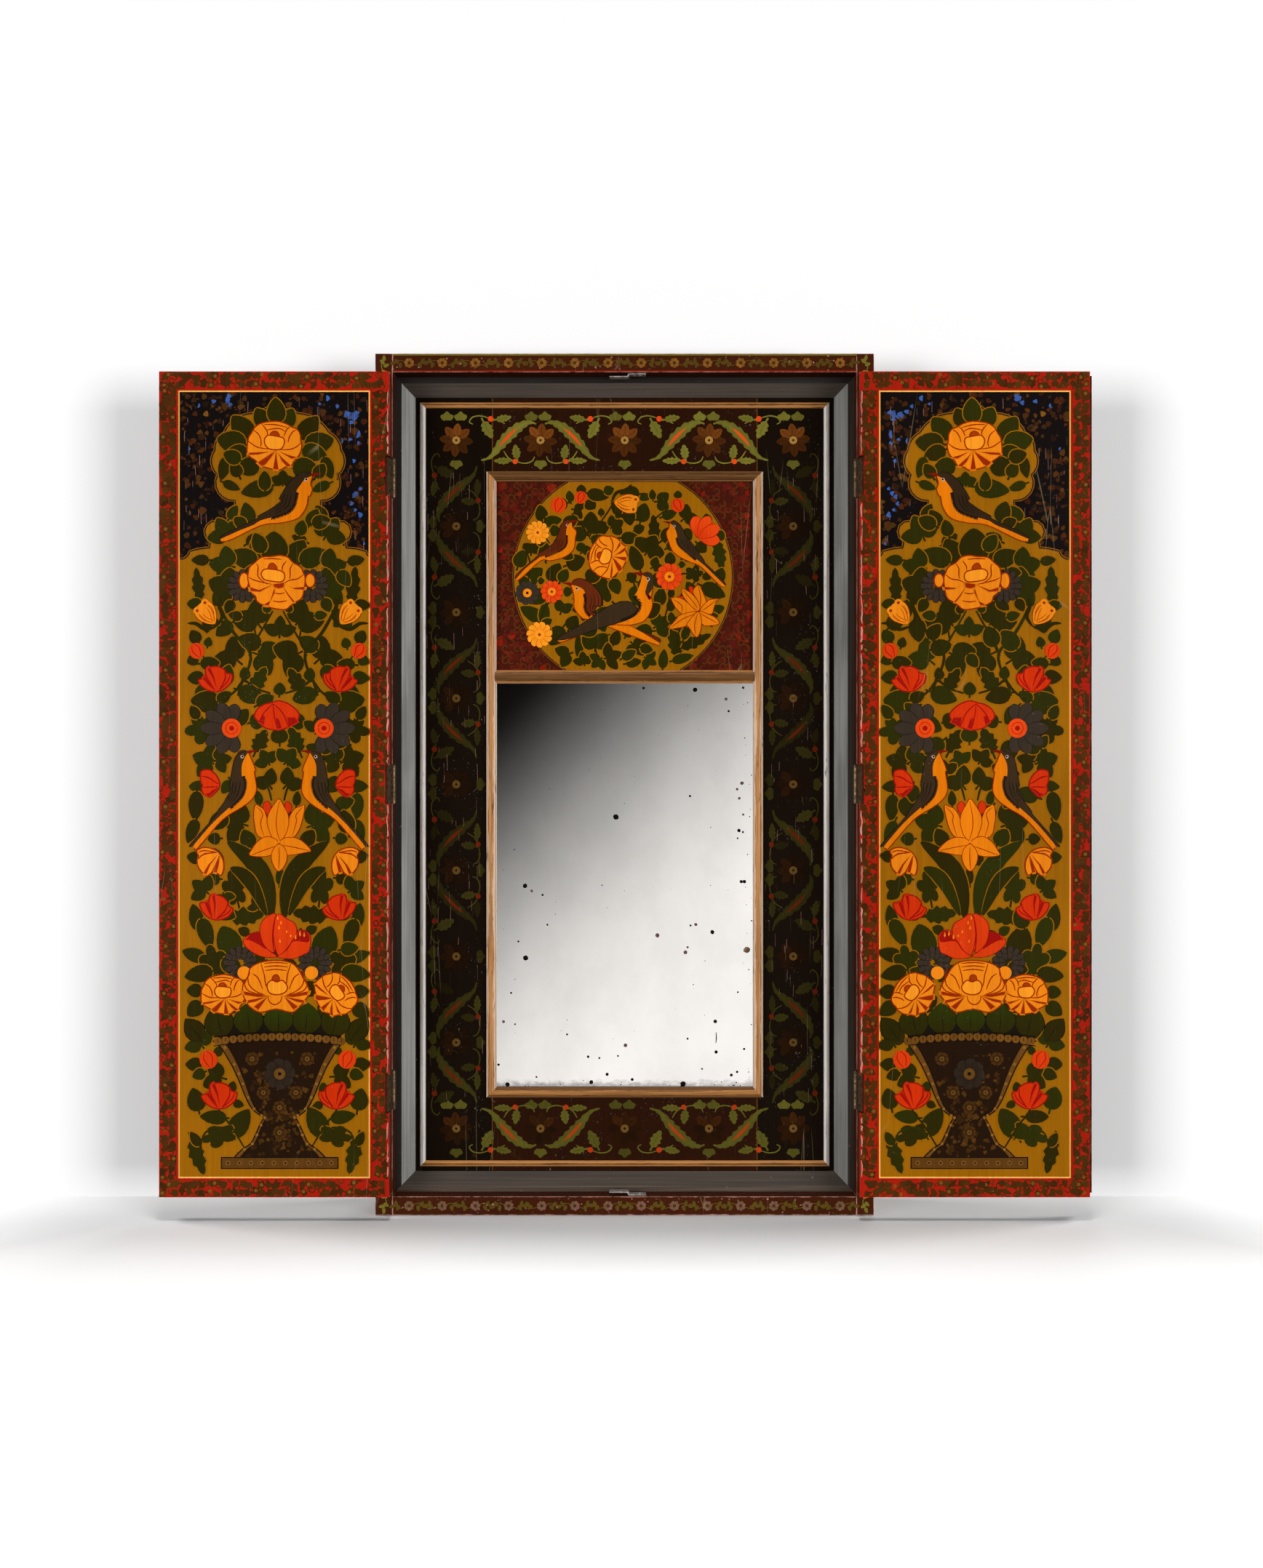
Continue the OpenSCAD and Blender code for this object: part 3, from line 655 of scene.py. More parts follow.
def great_tulip(painting, spot):
    """The large tulip over the urn, with its outer petals laid open and flakes of yellow."""
    line, root, tip = red_inks()
    for outline, fold in GREAT_TULIP:
        painting.shape(spot, outline, blended(root, tip, 0.4), line, 0.6)
        if fold:
            painting.shape(spot, fold, line)
    painting.line(spot, ((-2.6, -12), (-3.4, 2), (-1.6, 16)), 1.4, line)
    flake = yellow_inks()[1]
    for x, y, reach in TULIP_FLAKES:
        shape = [(x, y + reach), (x + 0.8, y), (x + 0.2, y - reach / 2), (x - 0.7, y)]
        painting.patch(spot.outline(shape), flake)


def rosette(painting, spot, inks, heart, petals=9):
    """A round flower of many petals about a ring, one unit wide. A list of inks gives each petal its own."""
    sets = inks if isinstance(inks, list) else [inks] * petals
    line = sets[0][0]
    u, v = spot(0, 0)
    painting.dot(u, v, 0.4 * spot.scale, line)
    for number, petal_inks in enumerate(sets):
        heading = 360 * number / len(sets)
        width = 0.92 * math.pi / len(sets)
        painting.petal(spot, polar(0.1, heading), heading, 0.4, width, petal_inks, 0.12, 1.9, 0.42, pen=0.3)
    painting.dot(u, v, 0.185 * spot.scale, heart, line, 0.035 * spot.scale)
    painting.dot(u, v, 0.06 * spot.scale, line, segments=8)


def daisy(painting, spot):
    """A dark daisy, one unit wide, whose petals fan out to one side of its red disc."""
    for turn, reach in ((98, 0.46), (-98, 0.46), (64, 0.53), (-64, 0.53), (32, 0.58), (-32, 0.58), (0, 0.6)):
        painting.petal(spot, polar(0.06, 180 + turn), 180 + turn, reach, 0.29, dark_inks(), 0, 1.5, 0.55)
    line, _, tip = red_inks()
    painting.dot(*spot(0, 0), 0.205 * spot.scale, tip, line, 0.5, 18)
    painting.strip(spot.outline(arc(0, 0, 0.125, 0, 350)), 0.5, line)
    painting.dot(*spot(0, 0), 0.055 * spot.scale, line, segments=8)


def carnation(painting, spot):
    """A dark ruffled flower, one unit wide, that peeps out from behind another."""
    for count, reach in ((13, 0.5), (9, 0.3)):
        for number in range(count):
            heading = 360 * number / count
            base = polar(reach * 0.3, heading)
            painting.petal(spot, base, heading, reach * 0.72, 0.2, dark_inks(), 0, 1.9, 0.45)


def bud(painting, spot, inks):
    """A round closed bud, one unit wide, with two seams."""
    line, root, tip = inks
    painting.patch(spot.outline(ellipse(0, 0, 0.48, 0.5, 16)), blended(root, tip, 0.5), line, 0.5)
    for side in (-1, 1):
        painting.line(spot, ((0.05 * side, 0.46), (0.24 * side, 0.1), (0.06 * side, -0.44)), 0.7, line)


def curled_bud(painting, spot, green):
    """A yellow bud, one unit wide, whose two lips roll into tubes, held by long sepals."""
    line, root, tip = yellow_inks()
    tip = blended(tip, colours()["belly"], 0.5)
    inks = (line, root, tip)
    for side in (-1, 1):
        sepal = smooth_path([(0, -0.62), (0.4 * side, -0.46), (0.56 * side, -0.06), (0.8 * side, 0.14)], 4)
        painting.strip(spot.outline(sepal), 0.15 * spot.scale, green, 0.7)
    for heading, bend in ((72, 0.1), (108, -0.1), (90, 0)):
        painting.petal(spot, (0, -0.52), heading, 0.98, 0.52, inks, bend, 1.6, 0.45)
    for x, y in ((-0.2, 0.36), (0.22, 0.3)):
        painting.dot(*spot(x, y), 0.15 * spot.scale, tip, line, 0.45)
        painting.dot(*spot(x, y), 0.06 * spot.scale, line, segments=8)
        for across in (-0.09, 0.06):
            fold = smooth_path([(x + across, y - 0.2), (x * 0.8 + across, y - 0.45), (across * 0.6, -0.4)], 3)
            painting.strip(spot.outline(fold), 0.5, line, 0.6)


# Lily petals, back to front: outline, and the line along the middle
LILY = (
    (((-19, 30), (-20.3, 23), (-19.6, 15), (-16.5, 5), (-4, 2), (-8.5, 13), (-9.5, 19), (-12, 26),
      (-15.5, 29)),
     ((-18, 28.4), (-13, 23), (-14.8, 15), (-12, 5))),
    (((20.6, 29.4), (18.6, 18), (15.5, 9), (11, 4), (3, 2), (7, 14), (8.5, 21), (12.5, 27), (17, 29)),
     ((19, 28.4), (13.5, 22), (14, 17), (10.5, 5))),
    (((0.2, 35), (-3, 32), (-7.5, 25), (-9.5, 19), (-9, 13), (-5, 3), (0, 0.5), (3, 3), (6, 8), (7.8, 16),
      (7, 23), (4, 29)),
     ((0.3, 33), (-2, 21), (-2, 11), (0.5, 2))),
    (((-23.6, -10.2), (-22, -6), (-18, 0), (-12, 4.3), (-6, 4.3), (-0.5, 0.5), (-2, -4.2), (-6, -9.7),
      (-14, -11.4)),
     ((-3, -3), (-12, -6.2), (-22, -10))),
    (((25.6, -6.4), (20, 0), (13, 3.8), (5, 3.8), (0.5, 0.5), (3, -5.2), (7, -10.2), (22, -7.7)),
     ((3, -2.2), (14, -4.2), (24, -6.5))),
    (((0, -1), (-4.5, -5.2), (-6.3, -11.2), (-4.5, -18.3), (-0.5, -23), (4, -19.3), (6.5, -12.2), (5, -5.2)),
     ((0, -4), (0.2, -13), (-0.5, -21))),
)
LILY_TIPS = (((-9.5, 33.4), (-12.8, 30), (-11.5, 25), (-8.5, 23), (-6.5, 29)),
             ((7, 33), (4.5, 30), (6, 24), (8.5, 24), (10.2, 29)))
TILTED_LILY = (
    (((-21.6, 9.5), (-18.3, 10.8), (-13, 9.8), (-7.9, 6.2), (0, 0), (-8.5, -3.6), (-13, -3), (-17.7, 1.6),
      (-20.3, 6.2)),
     ((-20, 9), (-13, 4), (-13, -2))),
    (((0.7, 21), (-3.3, 17.4), (-3.3, 13.4), (0.7, 7), (1, 0), (5, 2), (7.2, 7), (6, 10.8), (3.3, 17.4)),
     ((0.6, 20), (2.6, 11), (2, 2))),
    (((-13, 18.3), (-12.4, 12.8), (-8.5, 7), (-1, 0), (2, 1.6), (0, 8.2), (-4.6, 13.4), (-9.2, 16.7)),
     ((-12.6, 17.4), (-6, 10), (0, 2))),
    (((17.7, 9.5), (12.4, 9.2), (7.9, 7.5), (2, 0), (6, -2), (11.8, -3), (13.8, 3), (15.7, 7.5)),
     ((16, 9), (10, 4), (4, 0))),
    (((-23.6, -15), (-18.3, -8.2), (-13.8, -3.6), (0, -1), (-3.3, -8.8), (-9.2, -12.8), (-17, -14.7)),
     ((-22, -14.2), (-12, -7), (-2, -3))),
    (((18, -11), (15, -6.2), (9.8, -3.6), (1, -1), (4, -11.5), (9.8, -12.8)),
     ((16.5, -10.6), (9, -6.5), (3, -3))),
    (((-1, -22.3), (-7.2, -14), (-8.5, -10.8), (0, -1), (3.3, -7), (3.3, -12.8), (2, -18)),
     ((-1.6, -20), (-2.4, -12), (0, -3))),
)
TILTED_TIPS = (((-7, 19.5), (-6, 14), (-3.6, 14), (-4, 19)), ((-16, 11.6), (-13, 9), (-11, 11)))


def lily(painting, spot, petals, tips):
    """A lily of pointed petals, each with a line along its middle, and red tips behind them."""
    line, root, _ = yellow_inks()
    crimson, scarlet, _ = red_inks()
    for outline in tips:
        painting.shape(spot, outline, scarlet, crimson)
    body = blended(root, colours()["belly"], 0.6)
    for outline, ridge in petals:
        painting.shape(spot, outline, body, line, 0.6)
        painting.line(spot, ridge, 0.7, line)
    painting.dot(*spot(0, 0.6), 1.2 * spot.scale, body, line, 0.35, 8)


# How far a bird's breast and its back reach from its spine, by share of its length
BREAST = ((0, 1), (0.05, 5.3), (0.12, 9.4), (0.21, 11), (0.31, 10), (0.42, 10), (0.52, 9.2), (0.63, 6.4),
          (0.77, 3.6), (0.96, 3.8), (1, 2.2))
BACK = ((0, 2), (0.05, 5), (0.13, 7), (0.24, 8.4), (0.36, 11.4), (0.45, 11.6), (0.56, 9.4), (0.67, 6.5),
        (0.75, 4), (0.78, 2.5), (0.96, 2.5), (1, 1))
BIRD_LENGTH = 92


def bird(painting, spine, facing, wing_ink, looks=None, wing=None):
    """A nightingale.

    Its spine runs from the base of its beak along the wing's lower edge to the tip of the tail.
    A bird that looks back over its shoulder has the outline of its wing given.
    """
    hue = colours()
    line, belly_ink = hue["sienna"], hue["belly"]
    dark = blended(wing_ink, SOOT, 0.75)
    path = smooth_path(spine, 6)
    last = len(path) - 1
    scale = sum(math.dist(a, b) for a, b in zip(path, path[1:])) / BIRD_LENGTH

    def edge(profile, side):
        return smooth_path([beside(path, round(t * last), reach * scale * side) for t, reach in profile], 4)

    head = Spot(*path[0], scale, 0, looks or facing)
    beak = ((-0.8, 1.6), (2.5, 2.3), (8.4, 1.8), (3, 0.2), (0.4, -1.2))
    painting.patch(head.outline(beak), blended(hue["crimson"], hue["urn"], 0.4), dark, 0.3)
    back, breast = edge(BACK, -facing), edge(BREAST, facing)
    painting.dot(*head(-3.8, -2.4), 4.9 * scale, wing_ink, dark, 0.4, 16)
    if not wing:
        painting.patch([*path, *reversed(back)], wing_ink)
        painting.strip(back, 0.6, dark)
    painting.patch([*path, *reversed(breast)], belly_ink)
    painting.strip(breast, 0.7, line)
    if wing:
        nape = [beside(path, i, 7.4 * scale * facing) for i in range(round(0.03 * last), round(0.22 * last))]
        painting.strip(nape, 4.6 * scale, wing_ink, 0.7)
        painting.shape(Spot(0, 0), wing, wing_ink, dark, 0.6)
    painting.dot(*head(-4.4, -3), 1.4 * scale, blended(hue["ochre"], WHITE, 0.25), dark, 0.3, 10)
    painting.dot(*head(-4.2, -2.8), 0.85 * scale, SOOT, segments=8)
    for i in range(round(0.26 * last), round(0.68 * last)):
        for k in range(3):
            root = Vector(path[i]).lerp(Vector(path[i + 1]), k / 3)
            aim = Vector(beside(path, i + 2, 5 * facing)) - root
            tip = root + aim.normalized() * (1.4 + (i + k) % 2) * scale
            painting.strip([tuple(root), tuple(tip)], 0.5 * scale, dark)
    for share in () if wing else (0.3, 0.55, 0.8):
        span = range(round(0.32 * last), round(0.66 * last))
        feather = [beside(path, i, along(BACK, i / last) * share * scale * -facing) for i in span]
        painting.strip(feather, 0.6 * scale, dark, 0.6)


def sprig(painting, spot, flower, stalk, rng):
    """A gold flower with a wavy stalk and a few leaves, about 25 mm long."""
    wave = smooth_path([(-13, -1.5), (-8, 2), (0, 0), (8, -2), (13, 1.5)], 4)
    painting.strip(spot.outline(wave), 0.8, stalk, 0.3)
    for x, heading in ((-9, 120), (-7, 245), (8, -60), (10, 65), (-11.5, 190), (12, 0)):
        tip = Spot(*spot(x, 0), 1, spot.heading(heading + rng.uniform(-20, 20)))
        painting.patch([tip(a + 2, b) for a, b in leaf_outline(5, 2.8, segments=8)], stalk)
    for number in range(7):
        u, v = spot(*polar(2.6, 360 * number / 7 + 18))
        tone = blended(flower, stalk, rng.uniform(0, 0.6))
        painting.dot(u, v, 1.5, tone, blended(flower, SOOT, 0.6), 0.25, 9)
    painting.dot(*spot(0, 0), 1.4, blended(stalk, SOOT, 0.5), flower, 0.4, 9)


def scroll_scatter(painting, band, rng, dark, gold, step=5.6):
    """Crowded curled leaves and little rings over a band, given by its low and high corners."""
    u0, v0, u1, v1 = band

    def held(points):
        return [(min(max(u, u0), u1), min(max(v, v0), v1)) for u, v in points]

    columns, rows = max(2, round((u1 - u0) / step)), max(2, round((v1 - v0) / step))
    soot = blended(dark, SOOT, 0.5)
    for number in range(columns * rows):
        u = u0 + (number % columns + 0.5) * (u1 - u0) / columns
        v = v0 + (number // columns + 0.5) * (v1 - v0) / rows
        spot = Spot(u + rng.uniform(-1.6, 1.6), v + rng.uniform(-1.6, 1.6), 1, rng.uniform(0, 360))
        tone = blended(blended(dark, gold, rng.uniform(0, 0.2)), SOOT, rng.uniform(0, 0.3))
        if rng.random() < 0.86:
            shape = lobed_outline(rng.uniform(7.5, 11), rng.uniform(5, 7), rng.choice((3, 4, 5)), 0.45, 15)
            painting.patch(held(spot.outline(shape)), tone, soot, 0.2)
        painting.strip(held(spot.outline(arc(2.6, 2, 2.3, 10, 280, 7))), 1.0, tone, 0.5)
        if number % 7 == 0:
            painting.patch(held(ellipse(spot.u, spot.v, 1.5, 1.5, 9)), gold, soot, 0.45)


# Door paintings

LEFT, RIGHT = "left", "right"
SIDES = {LEFT: 1, RIGHT: -1}  # the right door mirrors the left one
HINGE_NOTCH = 3.4  # bare wood beside a hinge leaf


def door_face(side, outer=False):
    """The painted inner face, or the outer face, of a door as it stands folded back."""
    low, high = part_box(f"{side}_door_board")
    y = high.y if outer else low.y
    return Face(((low.x + high.x) / 2, y, low.z), (SIDES[side], 0, 0), (0, 0, 1), (0, 1 if outer else -1, 0),
                (high.x - low.x) / MM, (high.z - low.z) / MM)


def hinge_spans(side, face):
    """Where the hinge leaves lie along a door's height."""
    spans = []
    for place in ("lower", "middle", "upper"):
        low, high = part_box(f"{side}_door_leaf_{place}")
        spans.append(((low.z - face.origin.z) / MM - 0.4, (high.z - face.origin.z) / MM + 0.4))
    return spans


# Left half of the cusped arch: corner points, and how far the line bulges outwards from each to the next
ARCH = (
    ((-77, 511.5), -0.2), ((-67.5, 517.8), 0.03), ((-51.8, 520.6), 0), ((-51, 526), 0.56),
    ((-41.5, 540), -0.16),
    ((-31.2, 558.6), 0.3), ((-45.2, 579.2), 0.2), ((-47.4, 598.8), 0.15), ((-40, 613), 0.15),
    ((-17, 628.3), 0.1),
    ((-10.7, 630.7), -0.12), ((0, 639.5), 0),
)


def arch_outline(limit):
    """The cusped arch of a door's field, from its left foot over the point to its right foot."""
    left = []
    for (start, bulge), (end, _) in zip(ARCH, ARCH[1:]):
        left += bulged(start, end, bulge)
    point = ARCH[-1][0]
    right = [(-u + 6 * min(1, (point[1] - v) / 40), v) for u, v in reversed(left)]
    return [(max(-limit, min(limit, u)), v) for u, v in (*left, point, *right)]


def plant_axis(v):
    """How far right of a door's middle the plant stands at some height."""
    return 3 * min(1.0, max(0.0, (640 - v) / 120))


# Right-hand half of the plant: distance from its axis, height, heading, length, width and kind of each leaf
PAIRED_LEAVES = (
    (11, 625, 62, 15, 12, "oval"), (27, 617, 55, 22, 15, "oval"), (35, 605, 10, 23, 16, "oval"),
    (31, 596, -14, 18, 12, "oval"), (23, 585, -10, 18, 14, "oval"), (41, 585, -75, 18, 9, "oval"),
    (36, 570, 200, 14, 7, "oval"), (35, 549, 125, 13, 8, "oval"), (42, 534, 60, 24, 19, "trefoil"),
    (18, 528, 150, 13, 8, "oval"), (15, 517, 60, 23, 17, "oval"), (28, 513, 22, 21, 14, "oval"),
    (44, 506, 12, 24, 20, "trefoil"), (62, 511, 5, 13, 8, "oval"), (64, 491, 88, 27, 11, "serrated"),
    (67, 475, 0, 11, 8, "oval"), (44, 489, 20, 25, 22, "trefoil"), (39, 474, -60, 11, 8, "oval"),
    (20, 464, 48, 32, 27, "heart"), (34, 466, 10, 10, 7, "oval"), (9, 472, 90, 7, 6, "oval"),
    (37, 434, 40, 28, 24, "heart"), (11, 433, 205, 29, 25, "heart"), (67, 449, 60, 11, 9, "oval"),
    (55, 445, 100, 8, 7, "oval"), (68, 430, -20, 9, 8, "oval"), (55, 428, 175, 14, 9, "oval"),
    (66, 417, 0, 13, 10, "oval"), (60, 405, -30, 13, 10, "oval"), (15, 414, 122, 22, 13, "serrated"),
    (22, 402, 195, 20, 13, "oval"), (26, 420, 80, 10, 8, "oval"), (58, 397, 5, 23, 16, "oval"),
    (43, 401, 150, 13, 9, "oval"), (61, 375, -8, 26, 23, "lobed"), (67, 389, 60, 12, 8, "oval"),
    (16, 382, 170, 12, 11, "oval"), (13, 366, 115, 20, 14, "serrated"), (58, 350, 20, 22, 19, "trefoil"),
    (45, 351, 165, 18, 15, "trefoil"), (9, 352, 60, 17, 14, "trefoil"), (64, 329, 0, 14, 9, "oval"),
    (66, 313, -85, 21, 10, "oval"), (69, 293, -70, 18, 9, "oval"), (9, 333, 52, 22, 18, "heart"),
    (16, 320, 82, 11, 6, "oval"), (33, 300, 15, 28, 22, "trefoil"), (24, 288, 60, 14, 11, "oval"),
    (52, 255, 0, 10, 9, "oval"), (51, 287, 0, 10, 9, "oval"), (67, 273, 10, 11, 9, "oval"),
    (61, 248, 35, 19, 15, "trefoil"), (34, 248, 82, 28, 19, "lobed"), (66, 225, 75, 20, 10, "oval"),
    (58, 212, -112, 23, 11, "oval"), (25, 226, 175, 25, 15, "serrated"), (39, 205, 72, 26, 18, "oval"),
    (27, 214, 30, 9, 7, "oval"), (68, 194, 15, 18, 10, "oval"), (52, 189, 80, 26, 21, "lobed"),
    (63, 179, -10, 21, 12, "oval"), (67, 165, 0, 12, 10, "oval"), (67, 150, -40, 14, 11, "oval"),
    (64, 126, 60, 20, 16, "trefoil"), (48, 118, 120, 8, 6, "oval"), (67, 107, 0, 12, 10, "oval"),
    (63, 98, -20, 11, 9, "oval"), (50, 97, 10, 23, 18, "heart"), (36, 88, 100, 9, 7, "oval"),
    (66, 79, 80, 17, 13, "oval"), (32, 74, 200, 8, 6, "oval"), (52, 65, 5, 19, 10, "oval"),
    (31, 60, 118, 25, 15, "oval"), (47, 50, -15, 28, 17, "lobed"), (64, 33, -105, 27, 12, "serrated"),
    (66, 47, 60, 12, 7, "oval"),
)
MIDDLE_LEAVES = (
    (2, 631, 90, 20, 14, "oval"), (0, 522, 90, 24, 20, "oval"), (7, 575, 90, 14, 13, "trefoil"),
    (-14, 568, 190, 25, 13, "oval"), (-8, 575, 96, 15, 9, "oval"), (4, 456, 90, 20, 15, "trefoil"),
    (4, 408, 90, 10, 9, "oval"), (4, 371, 90, 12, 12, "oval"), (4, 258, 90, 14, 6, "oval"),
)
# Leaves about the bird under the arch
ARCH_LEAVES = (
    (-22, 549, 105, 16, 11, "oval"), (-28, 541, 150, 11, 8, "oval"), (31, 545, 60, 15, 10, "oval"),
    (38, 541, 20, 14, 10, "oval"),
    (-30, 583, 120, 12, 9, "oval"), (36, 582, 60, 12, 9, "oval"), (-34, 594, 160, 14, 10, "oval"),
    (-12, 524, 120, 16, 11, "oval"),
    (22, 536, 80, 12, 9, "oval"),
)
# Right-hand stems, as points from the plant's axis
PAIRED_STEMS = (
    (2.6, ((25, 420), (22, 436), (35, 452), (44, 468), (50, 482))),
    (2.2, ((32, 402), (29, 412), (25, 424))),
    (2.0, ((44, 398), (34, 406), (27, 414), (18, 408), (6, 404))),
    (1.6, ((4, 470), (12, 456), (20, 442), (23, 434))),
    (1.4, ((17, 446), (19, 458))),
    (1.4, ((55, 425), (60, 434))),
    (1.6, ((5, 318), (7, 326), (10, 334))),
    (1.6, ((54, 104), (50, 92), (47, 70), (38, 58), (27, 40))),
    (1.6, ((62, 40), (58, 52), (44, 56), (34, 46))),
)
# Long blades under the lily: width and points from the plant's axis
BLADES = ((16, ((5, 224), (9, 248), (19, 268), (40, 285))), (11, ((9, 226), (19, 248), (28, 259), (38, 264))))
# Leaves in the urn's mouth: middle, lean in degrees, length and width
CALYX = ((-57, 38, 20, 17), (61, -38, 20, 17), (-41, 14, 24, 25), (46, -14, 24, 25), (-19.5, 5, 23, 25),
         (25, -5, 23, 25), (3.5, 0, 22, 25))
URN_AXIS = 4.5


def urn_rim(u):
    """Height of the urn's rim, which rises towards its middle."""
    return 132.5 - 4 * ((u - URN_AXIS) / 53) ** 2


def fill_gaps(spots, count, within, rng, set_leaf):
    """Sets small leaves one by one where the leaves so far stand farthest apart."""
    spots = list(spots)
    u0, v0, u1, v1 = within
    for number in range(count):
        tries = [(rng.uniform(u0, u1), rng.uniform(v0, v1)) for _ in range(24)]
        u, v = max(tries, key=lambda place: min(math.dist(place, spot) for spot in spots))
        room = min(math.dist((u, v), spot) for spot in spots)
        spots.append((u, v))
        kind = "oval" if room < 11 or number % 3 else "trefoil"
        length = min(17, max(8, room * 1.15))
        set_leaf(u, v, rng.uniform(0, 360), length, length * 0.72, kind)


def paint_door_foliage(side, rng):
    """Leaves, stems, the long blades under the lily and the leaves in the urn's mouth."""
    hue = colours()
    painting = Painting(door_face(side), DOOR_LEAVES_LIFT)
    green = hue["leaf"]
    edge = blended(green, SOOT, 0.75)
    bare = blended(hue["ochre"], green, 0.12)

    def tone():
        return blended(green, hue["calyx"], rng.uniform(0, 0.4))

    def set_leaf(u, v, heading, length, width, kind):
        room = 77 - length * 0.5
        u = max(-room, min(room, u + rng.uniform(-0.8, 0.8)))
        spot = Spot(u, v + rng.uniform(-0.8, 0.8), 1, heading + rng.uniform(-6, 6))
        grown = rng.uniform(0.98, 1.14)
        leaf(painting, spot, length * grown, width * grown, kind, tone(), bare, rng.uniform(0.5, 0.85))

    def pair_of_strips(strips, hand, taper, halo=None):
        for width, points in strips:
            path = smooth_path([(plant_axis(v) + hand * du, v) for du, v in points], 4)
            if halo:
                painting.strip(path, width + HALO, halo, taper)
            painting.strip(path, width, tone(), taper)

    for hand in (-1, 1):
        for du, v, heading, length, width, kind in PAIRED_LEAVES:
            way = heading if hand > 0 else 180 - heading
            set_leaf(plant_axis(v) + hand * du, v, way, length, width, kind)
    for row in (*MIDDLE_LEAVES, *ARCH_LEAVES):
        set_leaf(*row)
    taken = [(plant_axis(v) + hand * du, v) for hand in (-1, 1) for du, v, *_ in PAIRED_LEAVES]
    taken += [(u, v) for u, v, *_ in MIDDLE_LEAVES]
    taken += [(u, v) for u in range(-36, 50, 16) for v in range(18, 130, 16)]
    taken += [(plant_axis(v) + hand * du, v)
              for hand in (-1, 1) for width, points in BLADES for du, v in points]
    fill_gaps(taken, 60, (-62, 30, 64, 515), rng, set_leaf)
    for hand in (-1, 1):
        pair_of_strips(PAIRED_STEMS, hand, 0.3)
        pair_of_strips(BLADES, hand, 0.85, bare)
    mouth = [(URN_AXIS + x, urn_rim(URN_AXIS + x) + 5) for x in range(-50, 51, 10)]
    painting.strip(mouth, 17, edge)
    for u, lean, length, width in CALYX:
        spot = Spot(u, urn_rim(u) - 2, 1, 90 + lean)
        bright = blended(hue["calyx"], green, abs(u - URN_AXIS) / 60)
        painting.petal(spot, (0, 0), 0, length + 3, width, (edge, green, bright), 0, 0.9, 0.8, pen=0.7)
        rib = [spot(length * t, 0) for t in (0.1, 0.4, 0.8)]
        painting.strip(rib, 0.7, edge, 0.7)
    painting.done(f"{side}_door_foliage", f"{side}_door")


def paint_door_flowers(side):
    """Roses, lily, tulips, daisies and buds of one door."""
    hue = colours()
    painting = Painting(door_face(side), DOOR_FLOWERS_LIFT)
    red, yellow = red_inks(), yellow_inks()
    for hand in (-1, 1):
        def spot(du, v, scale, turn=0.0):
            return Spot(plant_axis(v) + hand * du, v, scale, turn * hand, hand)
        carnation(painting, spot(27, 490, 27))
        carnation(painting, spot(30, 188, 27))
        curled_bud(painting, spot(57, 468, 21, -38), hue["leaf"])
        bud(painting, spot(65, 438, 13, -30), red)
        drawn_flower(painting, spot(50, 415, 0.92, -5), TULIP, red)
        daisy(painting, spot(37, 376, 38, 180))
        drawn_flower(painting, spot(54, 332, 0.86, -95), CLOSED_TULIP, red)
        drawn_flower(painting, spot(54, 269, 0.92, -130), TULIP, yellow)
        drawn_flower(painting, spot(49.5, 232, 0.9, 15), TULIP, red)
        painting.dot(*spot(27, 180, 1)(0, 0), 5.3, hue["yellow"], hue["sienna"], 0.5, 16)
        bud(painting, spot(55.5, 110.5, 15, -20), red)
        drawn_flower(painting, spot(47, 81, 0.95), TULIP, red)
    drawn_flower(painting, Spot(0, 603), TOP_ROSE, yellow)
    drawn_flower(painting, Spot(2, 493), EARED_ROSE, yellow)
    drawn_flower(painting, Spot(2.3, 386), HANGING_FLOWER, red)
    lily(painting, Spot(4, 284.4), LILY, LILY_TIPS)
    great_tulip(painting, Spot(2.5, 209))
    drawn_flower(painting, Spot(-41, 163, 0.82, 6), TOP_ROSE, yellow)
    drawn_flower(painting, Spot(49, 163, 0.82, -45), TOP_ROSE, yellow)
    drawn_flower(painting, Spot(1.5, 170), PEONY, yellow)
    painting.done(f"{side}_door_flowers", f"{side}_door")


UPPER_BIRD = (
    (30.2, 578.2), (25, 575.6), (21.2, 571), (18, 566), (17, 561.5), (16, 556.5), (13.6, 552), (8.5, 548.5),
    (-0.5, 545.3), (-10.7, 542.4), (-17, 538.6), (-26.6, 534.8), (-43, 527.5))
# From the plant's axis
FACING_BIRD = (
    (-25, 356.2), (-27.6, 352), (-29.7, 346), (-29.7, 338), (-28, 334), (-28, 328.8), (-29.7, 323.8),
    (-32.2, 319.7), (-38.3, 313.6), (-46.4, 306.5), (-55.5, 297.4), (-66.7, 284.2), (-69, 281))


def paint_door_birds(side):
    """One bird under the arch and two that face each other over the lily."""
    hue = colours()
    painting = Painting(door_face(side), DOOR_BIRDS_LIFT)
    bird(painting, UPPER_BIRD, 1, blended(hue["wing"], hue["urn"], 0.4))
    axis = plant_axis(350) + 1
    for hand in (-1, 1):
        bird(painting, [(axis + hand * u, v) for u, v in FACING_BIRD], hand, hue["wing"])
    painting.done(f"{side}_door_birds", f"{side}_door")


